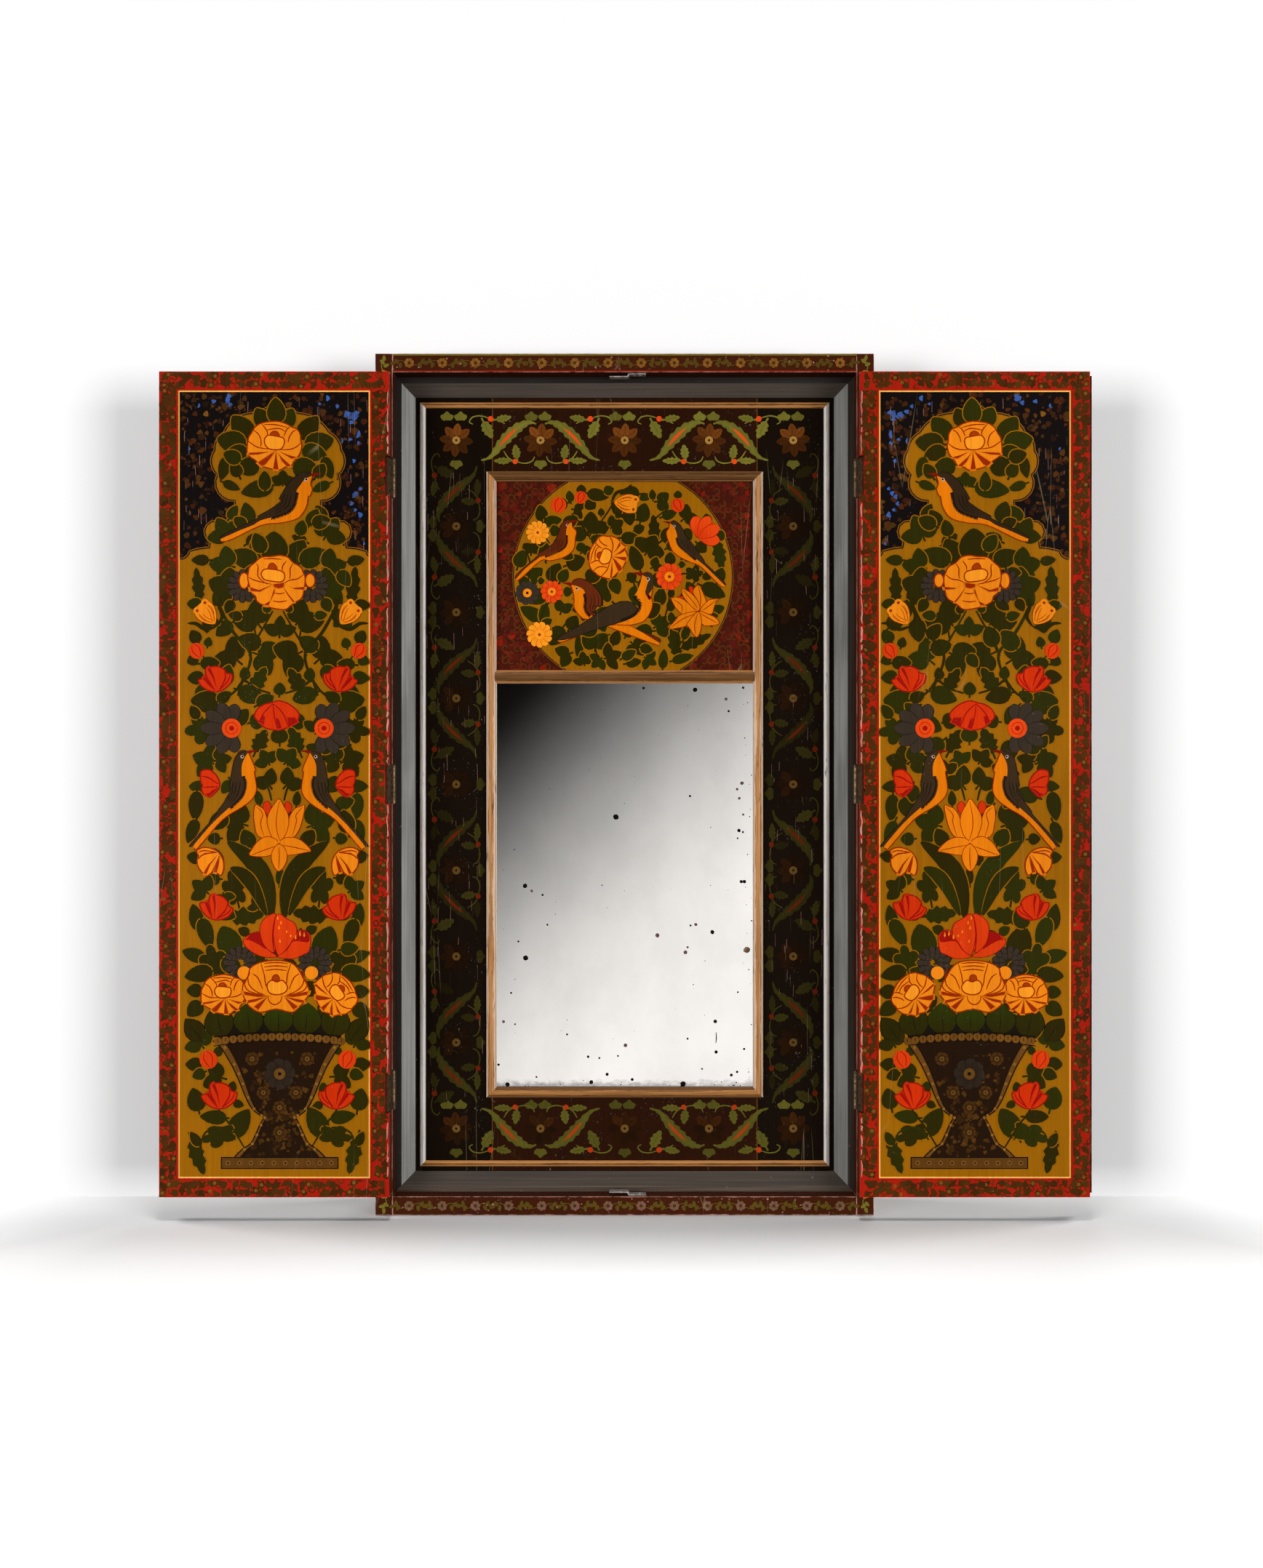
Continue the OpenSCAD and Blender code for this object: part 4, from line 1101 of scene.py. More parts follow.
# Blue dabs over the arch: middle, width and height
BLUE_DABS = (
    (62.5, 627, 14, 11), (43, 640.5, 3.5, 5), (36.4, 636, 2.5, 2.5), (50.5, 634, 3, 3.5), (67.5, 611.5, 3, 7),
    (61, 607.5, 3.5, 2.5), (67.5, 604.7, 2.5, 3.5), (54.6, 606.4, 1.6, 4.5), (64, 590.3, 3, 3.5),
    (66, 563, 5, 6), (69, 547, 4, 5), (62, 556, 3, 4), (69, 568, 3, 3), (65, 551, 3, 3), (-37.3, 640, 8, 8),
    (-48.5, 638, 4, 3.5), (-60.3, 634.5, 2, 4), (72, 524, 2, 3), (-68, 600, 2, 3))


def fleck(painting, u, v, reach, tone, rng):
    """A small uneven dab."""
    shape = lobed_outline(reach * rng.uniform(0.7, 1.3), reach * rng.uniform(0.6, 1.1), 3, 0.45, 9)
    painting.patch(Spot(u, v, 1, rng.uniform(0, 360)).outline(shape), tone)


def paint_door_field(side, rng):
    """The ochre field, the flecked black spandrels over its arch and the gold line around it."""
    hue, given = colours(), lengths()
    face = door_face(side)
    border, line = given["border"], given["gold_line"]
    inner, low, high = face.width / 2 - border, border, face.height - border
    painting = Painting(face, GROUND_LIFT)
    painting.box(-inner, low, inner, high, hue["ochre"])
    arch = arch_outline(inner)
    painting.patch([*arch, (inner, high), (-inner, high)], hue["black"])
    field = [*arch, (inner, low), (-inner, low)]

    def on_black(u, v):
        return abs(u) < inner - 2 and v < high - 2 and not encloses(field, u, v)

    for _ in range(760):
        u, v = rng.uniform(-inner, inner), rng.uniform(512, high)
        if on_black(u, v):
            brown = blended(hue["urn_gold"], hue["wing_brown"], rng.random())
            tone = blended(brown, hue["black"], rng.uniform(0.5, 0.95))
            fleck(painting, u, v, rng.uniform(2, 6.5), tone, rng)
    fleck(painting, -54.6, 628, 6, hue["urn_gold"], rng)
    for u, v, across, tall in BLUE_DABS:
        count = max(1, round(across * tall / 16))
        for _ in range(count):
            du, dv = (rng.gauss(0, extent / 4) if count > 1 else 0 for extent in (across, tall))
            if on_black(u + du, v + dv):
                tone = blended(hue["blue"], hue["plum"], rng.uniform(0, 0.5 if count > 1 else 0.2))
                shape = lobed_outline(across * 1.1 / count ** 0.5, tall * 1.1 / count ** 0.5, 3, 0.45, 10)
                painting.patch(Spot(u + du, v + dv, 1, rng.uniform(-20, 20)).outline(shape), tone)
    for _ in range(90):
        u, v, reach = rng.uniform(-inner, inner), rng.uniform(520, high - 8), rng.uniform(1, 5)
        if on_black(u, v):
            tone = blended(hue["rubbed"], hue["black"], rng.uniform(0.55, 0.9))
            painting.strip([(u, v - reach), (u + rng.uniform(-0.3, 0.3), v + reach)], 0.4, tone)
    inside = [(u, v) for u, v in arch if abs(u) < inner - 0.5]
    painting.strip(inside, 2.2, blended(hue["urn_gold"], hue["ochre"], 0.5))
    painting.strip(inside, 0.9, hue["black"])
    painting.frame(-inner, low, inner, high, line, hue["gold"])
    painting.done(f"{side}_door_field", f"{side}_door")


def paint_door_border(side, rng):
    """The red border with its crowded brown scrolls, rubbed pale along the hinges' edge."""
    hue = colours()
    face = door_face(side)
    border = lengths()["border"]
    half, top = face.width / 2, face.height
    inner, low, high = half - border, border, top - border
    painting = Painting(face, GROUND_LIFT)
    painting.box(-half, 0, half, border, hue["red"])
    painting.box(-half, high, half, top, hue["red"])
    painting.box(-half, border, -inner, high, hue["red"])
    painting.box(inner, border, half - HINGE_NOTCH, high, hue["red"])
    edges = [border, *(v for span in hinge_spans(side, face) for v in span), high]
    plain = list(zip(edges[::2], edges[1::2]))
    for lower, upper in plain:
        painting.box(half - HINGE_NOTCH, lower, half, upper, hue["red"])
    gap, margin = 1.6, 0.7
    beside_leaf, outer = half - HINGE_NOTCH - 0.3, half - margin
    bands = [(-outer, margin, beside_leaf, low - gap), (-outer, high + gap, beside_leaf, top - margin),
             (-outer, low - gap, -inner - gap, high + gap)]
    for number, (lower, upper) in enumerate(zip(edges, edges[1:])):
        bands.append((inner + gap, lower, beside_leaf if number % 2 else outer, upper))
    for band in bands:
        scroll_scatter(painting, band, rng, hue["scroll"], hue["urn_gold"], 5.3)
    for lower, upper in plain:
        v = lower + 1
        while v < upper - 6:
            reach = rng.uniform(4, 14)
            tone = blended(hue["rubbed"], hue["red"], rng.uniform(0.05, 0.6))
            steps = [v + reach * t for t in (0, 0.35, 0.7, 1)]
            path = [(half - rng.uniform(0.9, 1.9), min(step, upper - 0.5)) for step in steps]
            painting.strip(path, rng.uniform(0.7, 1.7), tone, 0.5)
            v += reach * rng.uniform(0.7, 1.5)
    seam = blended(hue["red"], hue["crimson"], 0.3)
    painting.frame(-inner - 1.4, low - 1.4, inner + 1.4, high + 1.4, 1.4, seam)
    painting.done(f"{side}_door_border", f"{side}_door")


# Half-width of the urn at each height
URN_SIDE = ((53.5, 125.5), (47, 120), (38.7, 106.6), (35, 99), (31.5, 91), (27, 80), (22, 71), (15.5, 65.6),
            (12.8, 64), (16, 58), (19.5, 50), (23.4, 43), (30, 38.5), (37, 31.5))


def paint_urn(side, rng):
    """The footed urn that the bouquet stands in."""
    hue = colours()
    painting = Painting(door_face(side), DOOR_URN_LIFT)
    edge = smooth_path(URN_SIDE, 3)
    rows = (-1, -0.87, -0.6, -0.3, 0, 0.3, 0.6, 0.87, 1)
    band, soot = blended(hue["urn_gold"], hue["urn"], 0.3), blended(hue["urn"], SOOT, 0.8)

    def place(i, j):
        reach, v = edge[i]
        crown = max(0, (v - 110) / 17)
        return URN_AXIS + reach * rows[j], v + 4 * crown * (1 - rows[j] ** 2)

    painting.sheet(len(edge) - 1, 8, place, lambda cell, i, j: band if cell[1] in (0, 7) else hue["urn"])
    for hand in (-1, 1):
        for share, width in ((1, 0.9), (0.87, 0.7)):
            painting.strip([(URN_AXIS + hand * reach * share, v) for reach, v in edge], width, soot)
    for _ in range(150):
        reach, v = edge[rng.randrange(4, len(edge) - 1)]
        u = URN_AXIS + rng.uniform(-0.8, 0.8) * reach
        tone = blended(hue["urn_gold"], hue["urn"], rng.uniform(0.55, 0.97))
        fleck(painting, u, v + rng.uniform(-3, 3), rng.uniform(2, 5.5), tone, rng)
    gold = blended(hue["urn_gold"], hue["gold"], 0.1)
    inks = soot, blended(hue["plum"], hue["urn"], 0.7), blended(hue["plum"], hue["urn"], 0.3)
    dull = blended(gold, hue["urn"], 0.5)
    rosette(painting, Spot(URN_AXIS, 99, 25), inks, dull, 8)
    inks = soot, hue["urn"], blended(hue["urn"], hue["urn_gold"], 0.3)
    for u, v in ((-22, 111), (22, 111), (-13, 84), (13, 84), (0, 72), (0, 52)):
        rosette(painting, Spot(URN_AXIS + u, v, 11), inks, dull, 6)
    for hand in (-1, 1):
        for i in range(3, len(edge) - 2, 3):
            painting.dot(URN_AXIS + hand * edge[i][0] * 0.935, edge[i][1], 1.2, gold, soot, 0.4, 8)
    scallops = 17
    for k in range(scallops):
        u = URN_AXIS + (k - (scallops - 1) / 2) * 6.2
        tone = blended(hue["urn_gold"], hue["urn"], rng.uniform(0, 0.35))
        v = urn_rim(u) - 3.2
        cup = [(u + 3.1 * x, v + (3.9 if y < 0 else 2.4) * y) for x, y in ellipse(0, 0, 1, 1, 12)]
        painting.patch(cup, tone, soot, 0.5)
        painting.strip([(u, v + 1.4), (u, v - 1.6)], 0.9, hue["urn"], 0.4)
    for drop, width in ((0, 0.9), (-7.2, 0.7)):
        rim = [(URN_AXIS + x, urn_rim(URN_AXIS + x) + drop) for x in range(-53, 54, 6)]
        painting.strip(rim, width, soot)
    u0, u1 = URN_AXIS - 47, URN_AXIS + 47
    painting.box(u0, 22.8, u1, 32.4, blended(hue["urn_gold"], hue["urn"], 0.5))
    painting.frame(u0, 22.8, u1, 32.4, 0.8, soot)
    for k in range(10):
        painting.dot(URN_AXIS + (k - 4.5) * 9.2, 27.6, 2, blended(gold, hue["urn"], 0.4), soot, 0.6, 12)
        painting.dot(URN_AXIS + (k - 4.5) * 9.2, 27.6, 0.8, soot, segments=8)
    painting.done(f"{side}_door_urn", f"{side}_door")


# Panel, picture and case paintings

ARABESQUE_LEAF = ((-50, -17), (-42, -14), (-34.5, -5), (-27, 3.6), (-18, 11.3), (-9.5, 15), (-3.6, 13.7))
ARABESQUE_WIDTH = ((0, 1.2), (0.15, 3.2), (0.34, 8.6), (0.5, 10.8), (0.65, 9.4), (0.8, 5), (0.92, 2),
                   (1, 1.2))
ARABESQUE_STEMS = (
    ((-42, 18), (-50, 20.5), (-57, 19.5), (-60, 15.5), (-57, 13.5)), ((-42, 18), (-36, 17), (-30, 14)),
    ((-21, -18), (-13, -19.5), (-7, -17.5), (-5, -13.7)), ((-21, -18), (-27, -15), (-31, -9)),
)


def panel_ground(part=None):
    """The panel's dark ground, browner along the top and bottom rails; the stiles at the sides are left
    darker as painted shade.
    """
    hue = colours()
    return blended(hue["panel"], hue["maroon"], {"top_rail": 0.3, "bottom_rail": 0.34}.get(part, 0))


def arabesque_run(painting, turn, origin, span, strength, rng, sign=1, corners=True):
    """A band of rosettes, with toothed leaves that rise from both sides over every second one."""
    hue = colours()
    ground, vivid, petal_strength, red_strength = panel_ground(), *strength
    green = blended(ground, hue["foliage"], vivid)
    red = blended(ground, hue["vein"], red_strength)
    brown = blended(ground, blended(hue["urn_gold"], hue["vein"], 0.12), petal_strength)
    gold = blended(ground, hue["gold"], petal_strength * 0.45 + 0.08)
    soot = blended(ground, SOOT, 0.5)
    # Random fading of the leaves, stronger on the side runs, where it adds to their painted shade.
    worn = 0.3 if corners else 0.85
    count = round(span / lengths()["rosette_step"])
    step = span / count
    line = Spot(*origin, 1, turn)
    for k in range(count + 1):
        if corners or 0 < k < count:
            flower = Spot(*line(k * step, 0), 1, turn + rng.uniform(-6, 6))
            for number in range(8):
                lit = 1.0 if number in (1, 2, 3) else 0.35
                petal = Spot(*flower(*polar(8.8, 45 * number)), 1, flower.heading(45 * number))
                tone = blended(ground, brown, lit * rng.uniform(0.5, 1))
                painting.patch(petal.outline(leaf_outline(10.5, 6.4, 0.5, 12)), tone, soot, 0.5)
                painting.strip([petal(-4, 0), petal(3, 0)], 1.2, soot, 0.8)
            painting.dot(*flower(0, 0), 3.4, gold, soot, 0.5, 14)
            painting.dot(*flower(0, 0), 1, soot, segments=8)
            for across, up in ((3.6, 19.6), (-7.7, 19.6), (0, -20)):
                clover = Spot(*line(k * step + across, up), 1, turn + math.copysign(90, up))
                leaf(painting, clover, 9, 9, "trefoil", blended(green, ground, rng.uniform(0.1, 0.5)))
        if k % 2 == 0:
            continue
        for hand in (-1, 1):
            hub = Spot(*line(k * step, 0), step / 71, turn, 1)

            def at(x, y):
                return hub(-x * hand, y * sign)

            def set_leaf(x, y, heading, length, width, kind):
                u, v = at(x, y)
                u1, v1 = at(x + math.cos(math.radians(heading)), y + math.sin(math.radians(heading)))
                way = math.degrees(math.atan2(v1 - v, u1 - u))
                spot = Spot(u, v, 1, way)
                leaf(painting, spot, length, width, kind, blended(green, ground, rng.uniform(0, worn)))
                rib = [spot(-length * 0.4, 0), spot(length * 0.25, 0)]
                painting.strip(rib, 0.7, blended(green, soot, 0.7), 0.6)

            for stem in ARABESQUE_STEMS:
                painting.strip([at(x, y) for x, y in smooth_path(stem, 3)], 1.1, green, 0.4)
            path = [at(x, y) for x, y in smooth_path(ARABESQUE_LEAF, 5)]
            last = len(path) - 1

            def blade(i, j):
                tooth = 1 if j == 1 else 0.72 + 0.28 * (i % 3) / 2
                return beside(path, i, along(ARABESQUE_WIDTH, i / last) / 2 * tooth * (j - 1))

            fade = rng.uniform(0, worn * 0.7)
            tones = [blended(green, ground, fade + (0 if j == 1 else 0.2)) for j in range(3)]
            painting.sheet(last, 2, blade, lambda cell, i, j: tones[j])
            painting.strip(path[last // 2 - 5:last // 2 + 5], 2.4, red, 0.85)
            set_leaf(-31, 18.4, 10, 13, 7, "serrated")
            set_leaf(-44.4, 8.7, -62, 16, 10, "serrated")
            set_leaf(-32.5, -17.4, 180, 13.5, 6.5, "serrated")
            set_leaf(-20.6, -9.6, 98, 12, 8, "serrated")
            painting.dot(*at(-42, 18), 2.4, red, soot, 0.3, 10)
            painting.dot(*at(-21.4, -18), 2.2, red, soot, 0.3, 10)


def paint_panel(rng):
    """The arabesques on the stiles and rails around the mirror, dimmer at the sides as painted shade, with
    pale scratches.
    """
    hue = colours()
    low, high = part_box("panel_left_stile")[0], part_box("panel_right_stile")[1]
    face = Face((0, low.y, 0), (1, 0, 0), (0, 0, 1), (0, -1, 0), (high.x - low.x) / MM, high.z / MM)
    inner_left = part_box("bead_left")[1].x / MM
    inner_low, inner_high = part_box("bead_bottom")[1].z / MM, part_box("bead_top")[0].z / MM
    frame_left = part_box("mirror_frame_left")[0].x / MM
    frame_low, frame_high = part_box("mirror_frame_bottom")[0].z / MM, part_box("mirror_frame_top")[1].z / MM
    x = (inner_left + frame_left) / 2
    top, bottom = (inner_high + frame_high) / 2, (inner_low + frame_low) / 2
    painting = Painting(face, PANEL_LIFT)
    # The strengths make the bottom run dimmer than the top one, and the side runs far dimmer still, as
    # painted shade on the stiles.
    arabesque_run(painting, 0, (x, top), -2 * x, (0.85, 0.75, 0.9), rng)
    arabesque_run(painting, 0, (x, bottom), -2 * x, (0.48, 0.16, 0.5), rng, -1)
    arabesque_run(painting, 90, (x, bottom), top - bottom, (0.15, 0.05, 0.14), rng, 1, False)
    arabesque_run(painting, 90, (-x, bottom), top - bottom, (0.13, 0.05, 0.12), rng, -1, False)
    for _ in range(130):
        hand, v, reach = rng.choice((-1, 1)), rng.uniform(frame_low, frame_high), rng.uniform(1, 7)
        u = hand * rng.uniform(-frame_left + 1, -inner_left - 1)
        tone = blended(hue["rubbed"], hue["panel"], rng.uniform(0.45, 0.92))
        path = [(u, v - reach), (u + rng.uniform(-0.4, 0.4), v + reach)]
        painting.strip(path, rng.uniform(0.2, 0.5), tone, 0.5)
    painting.done("panel_arabesque", "case")


# The picture's birds: spine, which side the breast is on, wing colour and which way the beak points
PICTURE_BIRDS = (
    (((-44.3, 122.5), (-47, 120), (-48.3, 116), (-48.6, 111), (-48.6, 106.4), (-50, 102.5), (-54.8, 99),
      (-62.7, 95.3), (-69, 94), (-73, 91.4), (-82.3, 84), (-90, 75.4)), 1, "wing_brown", 1),
    (((37.6, 121.5), (40.5, 119), (42.8, 113.6), (43.8, 108.4), (45, 104.4), (49, 100), (55.6, 94.6),
      (60.2, 91.4), (66.7, 86), (71.3, 81.5), (83, 70)), -1, "wing", -1),
    (((-44, 70.5), (-39, 69.5), (-34.5, 67), (-32, 62.3), (-31.2, 57.8), (-32, 53), (-30.6, 48.6),
      (-27.3, 45.3), (-22, 43.4), (3.2, 37), (29, 22.5)), -1, "wing_brown", -1),
    (((14.3, 78.7), (13.3, 73.5), (10.4, 65.6), (7.5, 60), (11.7, 55.8), (10.4, 50), (4.5, 45.3),
      (-5.3, 41.7), (-21.4, 40), (-36.5, 33.5), (-56, 26.3)), 1, "wing", -1),
)
TURNED_WING = (
    (-0.5, 57), (-12, 53.5), (-24, 46), (-37.7, 36.8), (-51.7, 29), (-56.3, 25), (-44.7, 26.5), (-21.4, 34.5),
    (-2.8, 40), (7.4, 44.5), (10.4, 50), (6.5, 55.5))
PICTURE_LEAVES = (
    (-69, 130, 100, 13, 9, "oval"), (-59.5, 123.5, 10, 14, 8, "oval"), (-45.5, 144, 100, 9, 6, "oval"),
    (-39, 132.5, -10, 14, 10, "heart"), (-36, 150, 90, 7, 7, "oval"), (-28, 137, -40, 9, 9, "oval"),
    (-22, 145, -10, 17, 9, "oval"), (-13, 149, 20, 8, 7, "oval"), (-28, 119, 90, 24, 19, "trefoil"),
    (-19.5, 131, 90, 6, 5, "oval"), (-7.5, 120, 30, 14, 12, "trefoil"), (-57.5, 115.5, 0, 8, 8, "oval"),
    (-84.5, 109, 90, 9, 6, "oval"), (-77.5, 100, 90, 14, 14, "heart"), (-86, 92.5, 70, 14, 10, "oval"),
    (-34.5, 100, 60, 12, 12, "heart"), (-40.5, 89.5, 20, 15, 12, "oval"), (-75, 78.5, 40, 17, 11, "oval"),
    (-58, 81, 60, 16, 11, "oval"), (-50.5, 78.5, 60, 11, 8, "oval"), (17, 143.5, 0, 10, 6, "oval"),
    (23, 145.5, 95, 8, 5, "oval"), (30.5, 139.5, 0, 16, 14, "heart"), (37, 129, 20, 12, 7, "oval"),
    (44, 145.5, 90, 6, 6, "oval"), (51.5, 127.5, 40, 18, 15, "heart"), (68, 125.5, 100, 8, 7, "oval"),
    (79, 111, -40, 8, 8, "oval"), (24.5, 117, 95, 22, 10, "serrated"), (12, 117, 25, 9, 7, "oval"),
    (4.5, 109.5, 0, 14, 9, "oval"), (20.5, 102, 60, 21, 19, "trefoil"), (9, 93, 110, 20, 10, "oval"),
    (25.5, 86.5, 30, 13, 11, "heart"), (37.5, 92.5, 90, 10, 8, "oval"), (51.5, 112, -45, 10, 9, "oval"),
    (63.5, 101.5, -45, 10, 9, "oval"), (78.5, 95, -80, 23, 11, "serrated"), (57.5, 80, 0, 15, 13, "lobed"),
    (47.5, 87.5, 0, 5, 5, "oval"), (68, 77.5, -30, 7, 6, "oval"), (6, 77, 30, 8, 8, "oval"),
    (-82.5, 38, 0, 8, 7, "oval"), (-77, 47, 150, 20, 10, "oval"), (-66.5, 48, 85, 17, 8, "oval"),
    (-51.5, 51.5, 70, 16, 12, "heart"), (-43, 39.5, 60, 12, 10, "oval"), (-47, 65, 0, 7, 7, "oval"),
    (-69, 74, 0, 5, 5, "oval"), (-66.5, 16, 70, 10, 9, "oval"), (-49, 12.5, 200, 18, 14, "heart"),
    (-38, 20, 95, 20, 6, "oval"), (-24.5, 22.5, 90, 22, 19, "heart"), (-7.5, 27, 70, 12, 8, "oval"),
    (-11, 11.5, 20, 18, 12, "trefoil"), (-18.5, 67.5, 90, 24, 19, "lobed"), (29.5, 61, 80, 14, 9, "oval"),
    (38.5, 64.5, 85, 8, 5, "oval"), (73.5, 65.5, -25, 20, 11, "oval"), (77.5, 50.5, 20, 10, 7, "oval"),
    (30, 38.5, 30, 20, 14, "trefoil"), (38, 54, 90, 10, 6, "oval"), (9.5, 19, -45, 18, 12, "trefoil"),
    (7.5, 6.5, 10, 12, 7, "oval"), (41.5, 24, 100, 24, 12, "serrated"), (59, 24, 25, 26, 10, "serrated"),
    (51, 32.5, 70, 14, 6, "oval"), (48, 10, 15, 17, 7, "oval"), (32, 9.5, 85, 15, 7, "oval"),
    (3, 32, 60, 9, 8, "oval"), (3.5, 13, 30, 12, 7, "oval"),
)
PICTURE_STEMS = (
    ((-23.6, 112), (-20, 122), (-14, 131), (-8.5, 140)), ((-4, 128), (4, 125), (15, 124)),
    ((20, 112), (24, 124), (36, 134)),
    ((-28, 108), (-34, 118), (-44, 130)), ((-62, 105), (-66, 112), (-66, 128)),
    ((-70, 40), (-66, 52), (-60, 58)),
    ((46, 14), (44, 30), (52, 42)), ((54, 68), (60, 78), (58, 90)), ((37, 66), (36, 54), (32, 40)),
    ((-22, 10), (-24, 22), (-12, 30)), ((60, 110), (54, 120), (50, 130)), ((-80, 74), (-78, 88), (-84, 104)),
)


def paint_picture(rng):
    """The bird picture: a round ochre field between scrolled madder corners."""
    hue, given = colours(), lengths()
    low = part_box("bird_picture")[0]
    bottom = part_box("mirror_crossbar")[1].z / MM
    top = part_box("mirror_frame_top")[0].z / MM
    half = -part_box("mirror_frame_left")[1].x / MM
    face = Face((0, low.y, bottom * MM), (1, 0, 0), (0, 0, 1), (0, -1, 0), 2 * half, top - bottom)
    tall, reach, cu, cv = top - bottom, given["medallion"], -1.5, (top - bottom) / 2 - 0.5
    painting = Painting(face, GROUND_LIFT)
    dark = blended(hue["urn"], hue["madder"], 0.28)
    painting.box(-half, 0, half, tall, dark)
    corners = [(u, v) for u in range(-104, 105, 5) for v in range(3, int(tall), 5)
               if math.hypot(u - cu, v - cv) > reach + 2]
    for u, v in corners:
        edge = max(abs(u) / half, abs(v - tall / 2) / (tall / 2))
        worn = hue["red"] if edge > rng.uniform(0.85, 1.2) else hue["madder"]
        tone = blended(worn, dark, rng.uniform(0.3, 0.95))
        fleck(painting, u + rng.uniform(-2, 2), v + rng.uniform(-2, 2), rng.uniform(3, 8), tone, rng)
        if rng.random() < 0.5:
            curl = Spot(u, v, 1, rng.uniform(0, 360))
            gold = blended(hue["urn_gold"], dark, 0.75)
            painting.strip(curl.outline(arc(0, 0, 2.4, 0, 270, 8)), 1.2, gold, 0.4)
    rise, fall = (math.degrees(math.asin((y - cv) / reach)) for y in (tall, 0))
    sides = arc(cu, cv, reach, fall, rise, 24), arc(cu, cv, reach, 180 - rise, 180 - fall, 24)
    painting.patch([*sides[0], *sides[1]], hue["ochre"])
    for side in sides:
        painting.strip(side, 1.6, blended(hue["urn_gold"], hue["ochre"], 0.3))
        painting.strip(side, 0.7, hue["black"])
    painting.done("picture_ground", "case")

    painting = Painting(face, PICTURE_LEAVES_LIFT)

    def set_leaf(u, v, heading, length, width, kind):
        if math.hypot(u - cu, v - cv) > reach - length * 0.3:
            return
        tone = blended(hue["leaf"], hue["calyx"], rng.uniform(0, 0.4))
        leaf(painting, Spot(u, v, 1, heading), length * 1.08, width * 1.12, kind, tone, hue["ochre"], 0.7)

    for row in PICTURE_LEAVES:
        set_leaf(*row)
    outside = [polar(reach, angle) for angle in range(0, 360, 10)]
    taken = [*((u, v) for u, v, *_ in PICTURE_LEAVES), *((cu + x, cv + y) for x, y in outside)]
    fill_gaps(taken, 52, (cu - reach * 0.92, 6, cu + reach * 0.92, tall - 6), rng, set_leaf)
    for stem in PICTURE_STEMS:
        painting.strip(smooth_path(stem, 4), 1.4, hue["leaf"], 0.3)
    painting.done("picture_foliage", "case")

    painting = Painting(face, PICTURE_FLOWERS_LIFT)
    red, yellow, plum = red_inks(), yellow_inks(), dark_inks()
    for u, v, across in ((-54.8, 136.7, 13.4), (-36.3, 143, 10.6), (43.8, 136.7, 11.6)):
        bud(painting, Spot(u, v, across, rng.uniform(-30, 30)), red)
    curled_bud(painting, Spot(1.5, 138, 20, -95), hue["leaf"])
    for u, v, across, inks, heart, petals in (
            (-72, 114, 19.4, yellow, hue["pale"], 11), (-70.5, 29.5, 21.6, yellow, hue["pale"], 11),
            (-60.3, 65, 18.6, red, hue["yellow"], 10), (37, 77.5, 22.4, red, hue["yellow"], 10),
            (-80.6, 64, 20, plum, hue["yellow"], 10)):
        rosette(painting, Spot(u, v, across, rng.uniform(0, 40)), inks, heart, petals)
    fan = Spot(60.7, 109.7)
    for heading, length in ((98, 18), (-8, 18), (62, 20), (28, 20)):
        painting.petal(fan, (0, 0), heading, length, 11, red, 0, 1.4, 0.55)
    drawn_flower(painting, Spot(-14.3, 93.6, 0.8, 80), TOP_ROSE, yellow)
    lily(painting, Spot(60.2, 49.6), TILTED_LILY, TILTED_TIPS)
    painting.done("picture_flowers", "case")

    painting = Painting(face, PICTURE_BIRDS_LIFT)
    for spine, breast, ink, looks in PICTURE_BIRDS:
        bird(painting, spine, breast, hue[ink], looks, None if looks == breast else TURNED_WING)
    painting.done("picture_birds", "case")


# Spots in the old silvering: place across and up the case, and radius
FOXING = (
    (15.6, 429.7, 1.1), (58.2, 428.3, 1.8), (86, 410.6, 1), (98, 430, 1), (54, 340.3, 1), (-7.3, 323, 2.2),
    (94.5, 311.8, 1.5), (97.8, 310.5, 0.9), (93.4, 305.4, 0.8), (-82.5, 266, 1.9), (-68, 258.5, 0.9),
    (-106.7, 245.3, 1), (-64, 233.8, 0.8), (-88, 220, 0.8), (-82, 206.3, 2.1), (-94, 177.4, 0.8),
    (-107.8, 178, 0.8), (-90.7, 151.5, 0.8), (-47.7, 143, 0.8), (-30.3, 124.6, 1), (-21, 123.5, 0.8),
    (-104.4, 118, 1), (-14.6, 110, 1.3), (-27.7, 103.5, 1.6), (-97, 101.6, 1.8), (96.4, 269.5, 1.4),
    (99, 269.5, 1.4), (72.5, 227.7, 1.8), (54.5, 233.2, 0.9), (52, 215.2, 0.9), (74.9, 153.8, 1.5),
    (75.6, 128.5, 1.4), (98.8, 131, 1), (6.2, 105.7, 1.2), (93, 112, 1), (88.2, 109.4, 1.2), (48.3, 102, 2.2),
    (64, 114.5, 0.8), (52, 139.5, 0.8), (-5.6, 125.2, 0.8), (-73, 107.8, 0.8), (93.6, 178, 0.8))
FAINT_FOXING = ((83.8, 420.6, 1.2), (98, 325, 1), (94.8, 338.5, 1.2), (-77, 261.8, 1.2), (-100.3, 153.6, 1.2),
                (58.8, 234, 1.2), (27, 225, 1.8), (50.2, 211, 1.6), (101, 213, 2.5), (0.6, 134, 1.5),
                (97, 351, 1.4), (93, 346, 1.1))


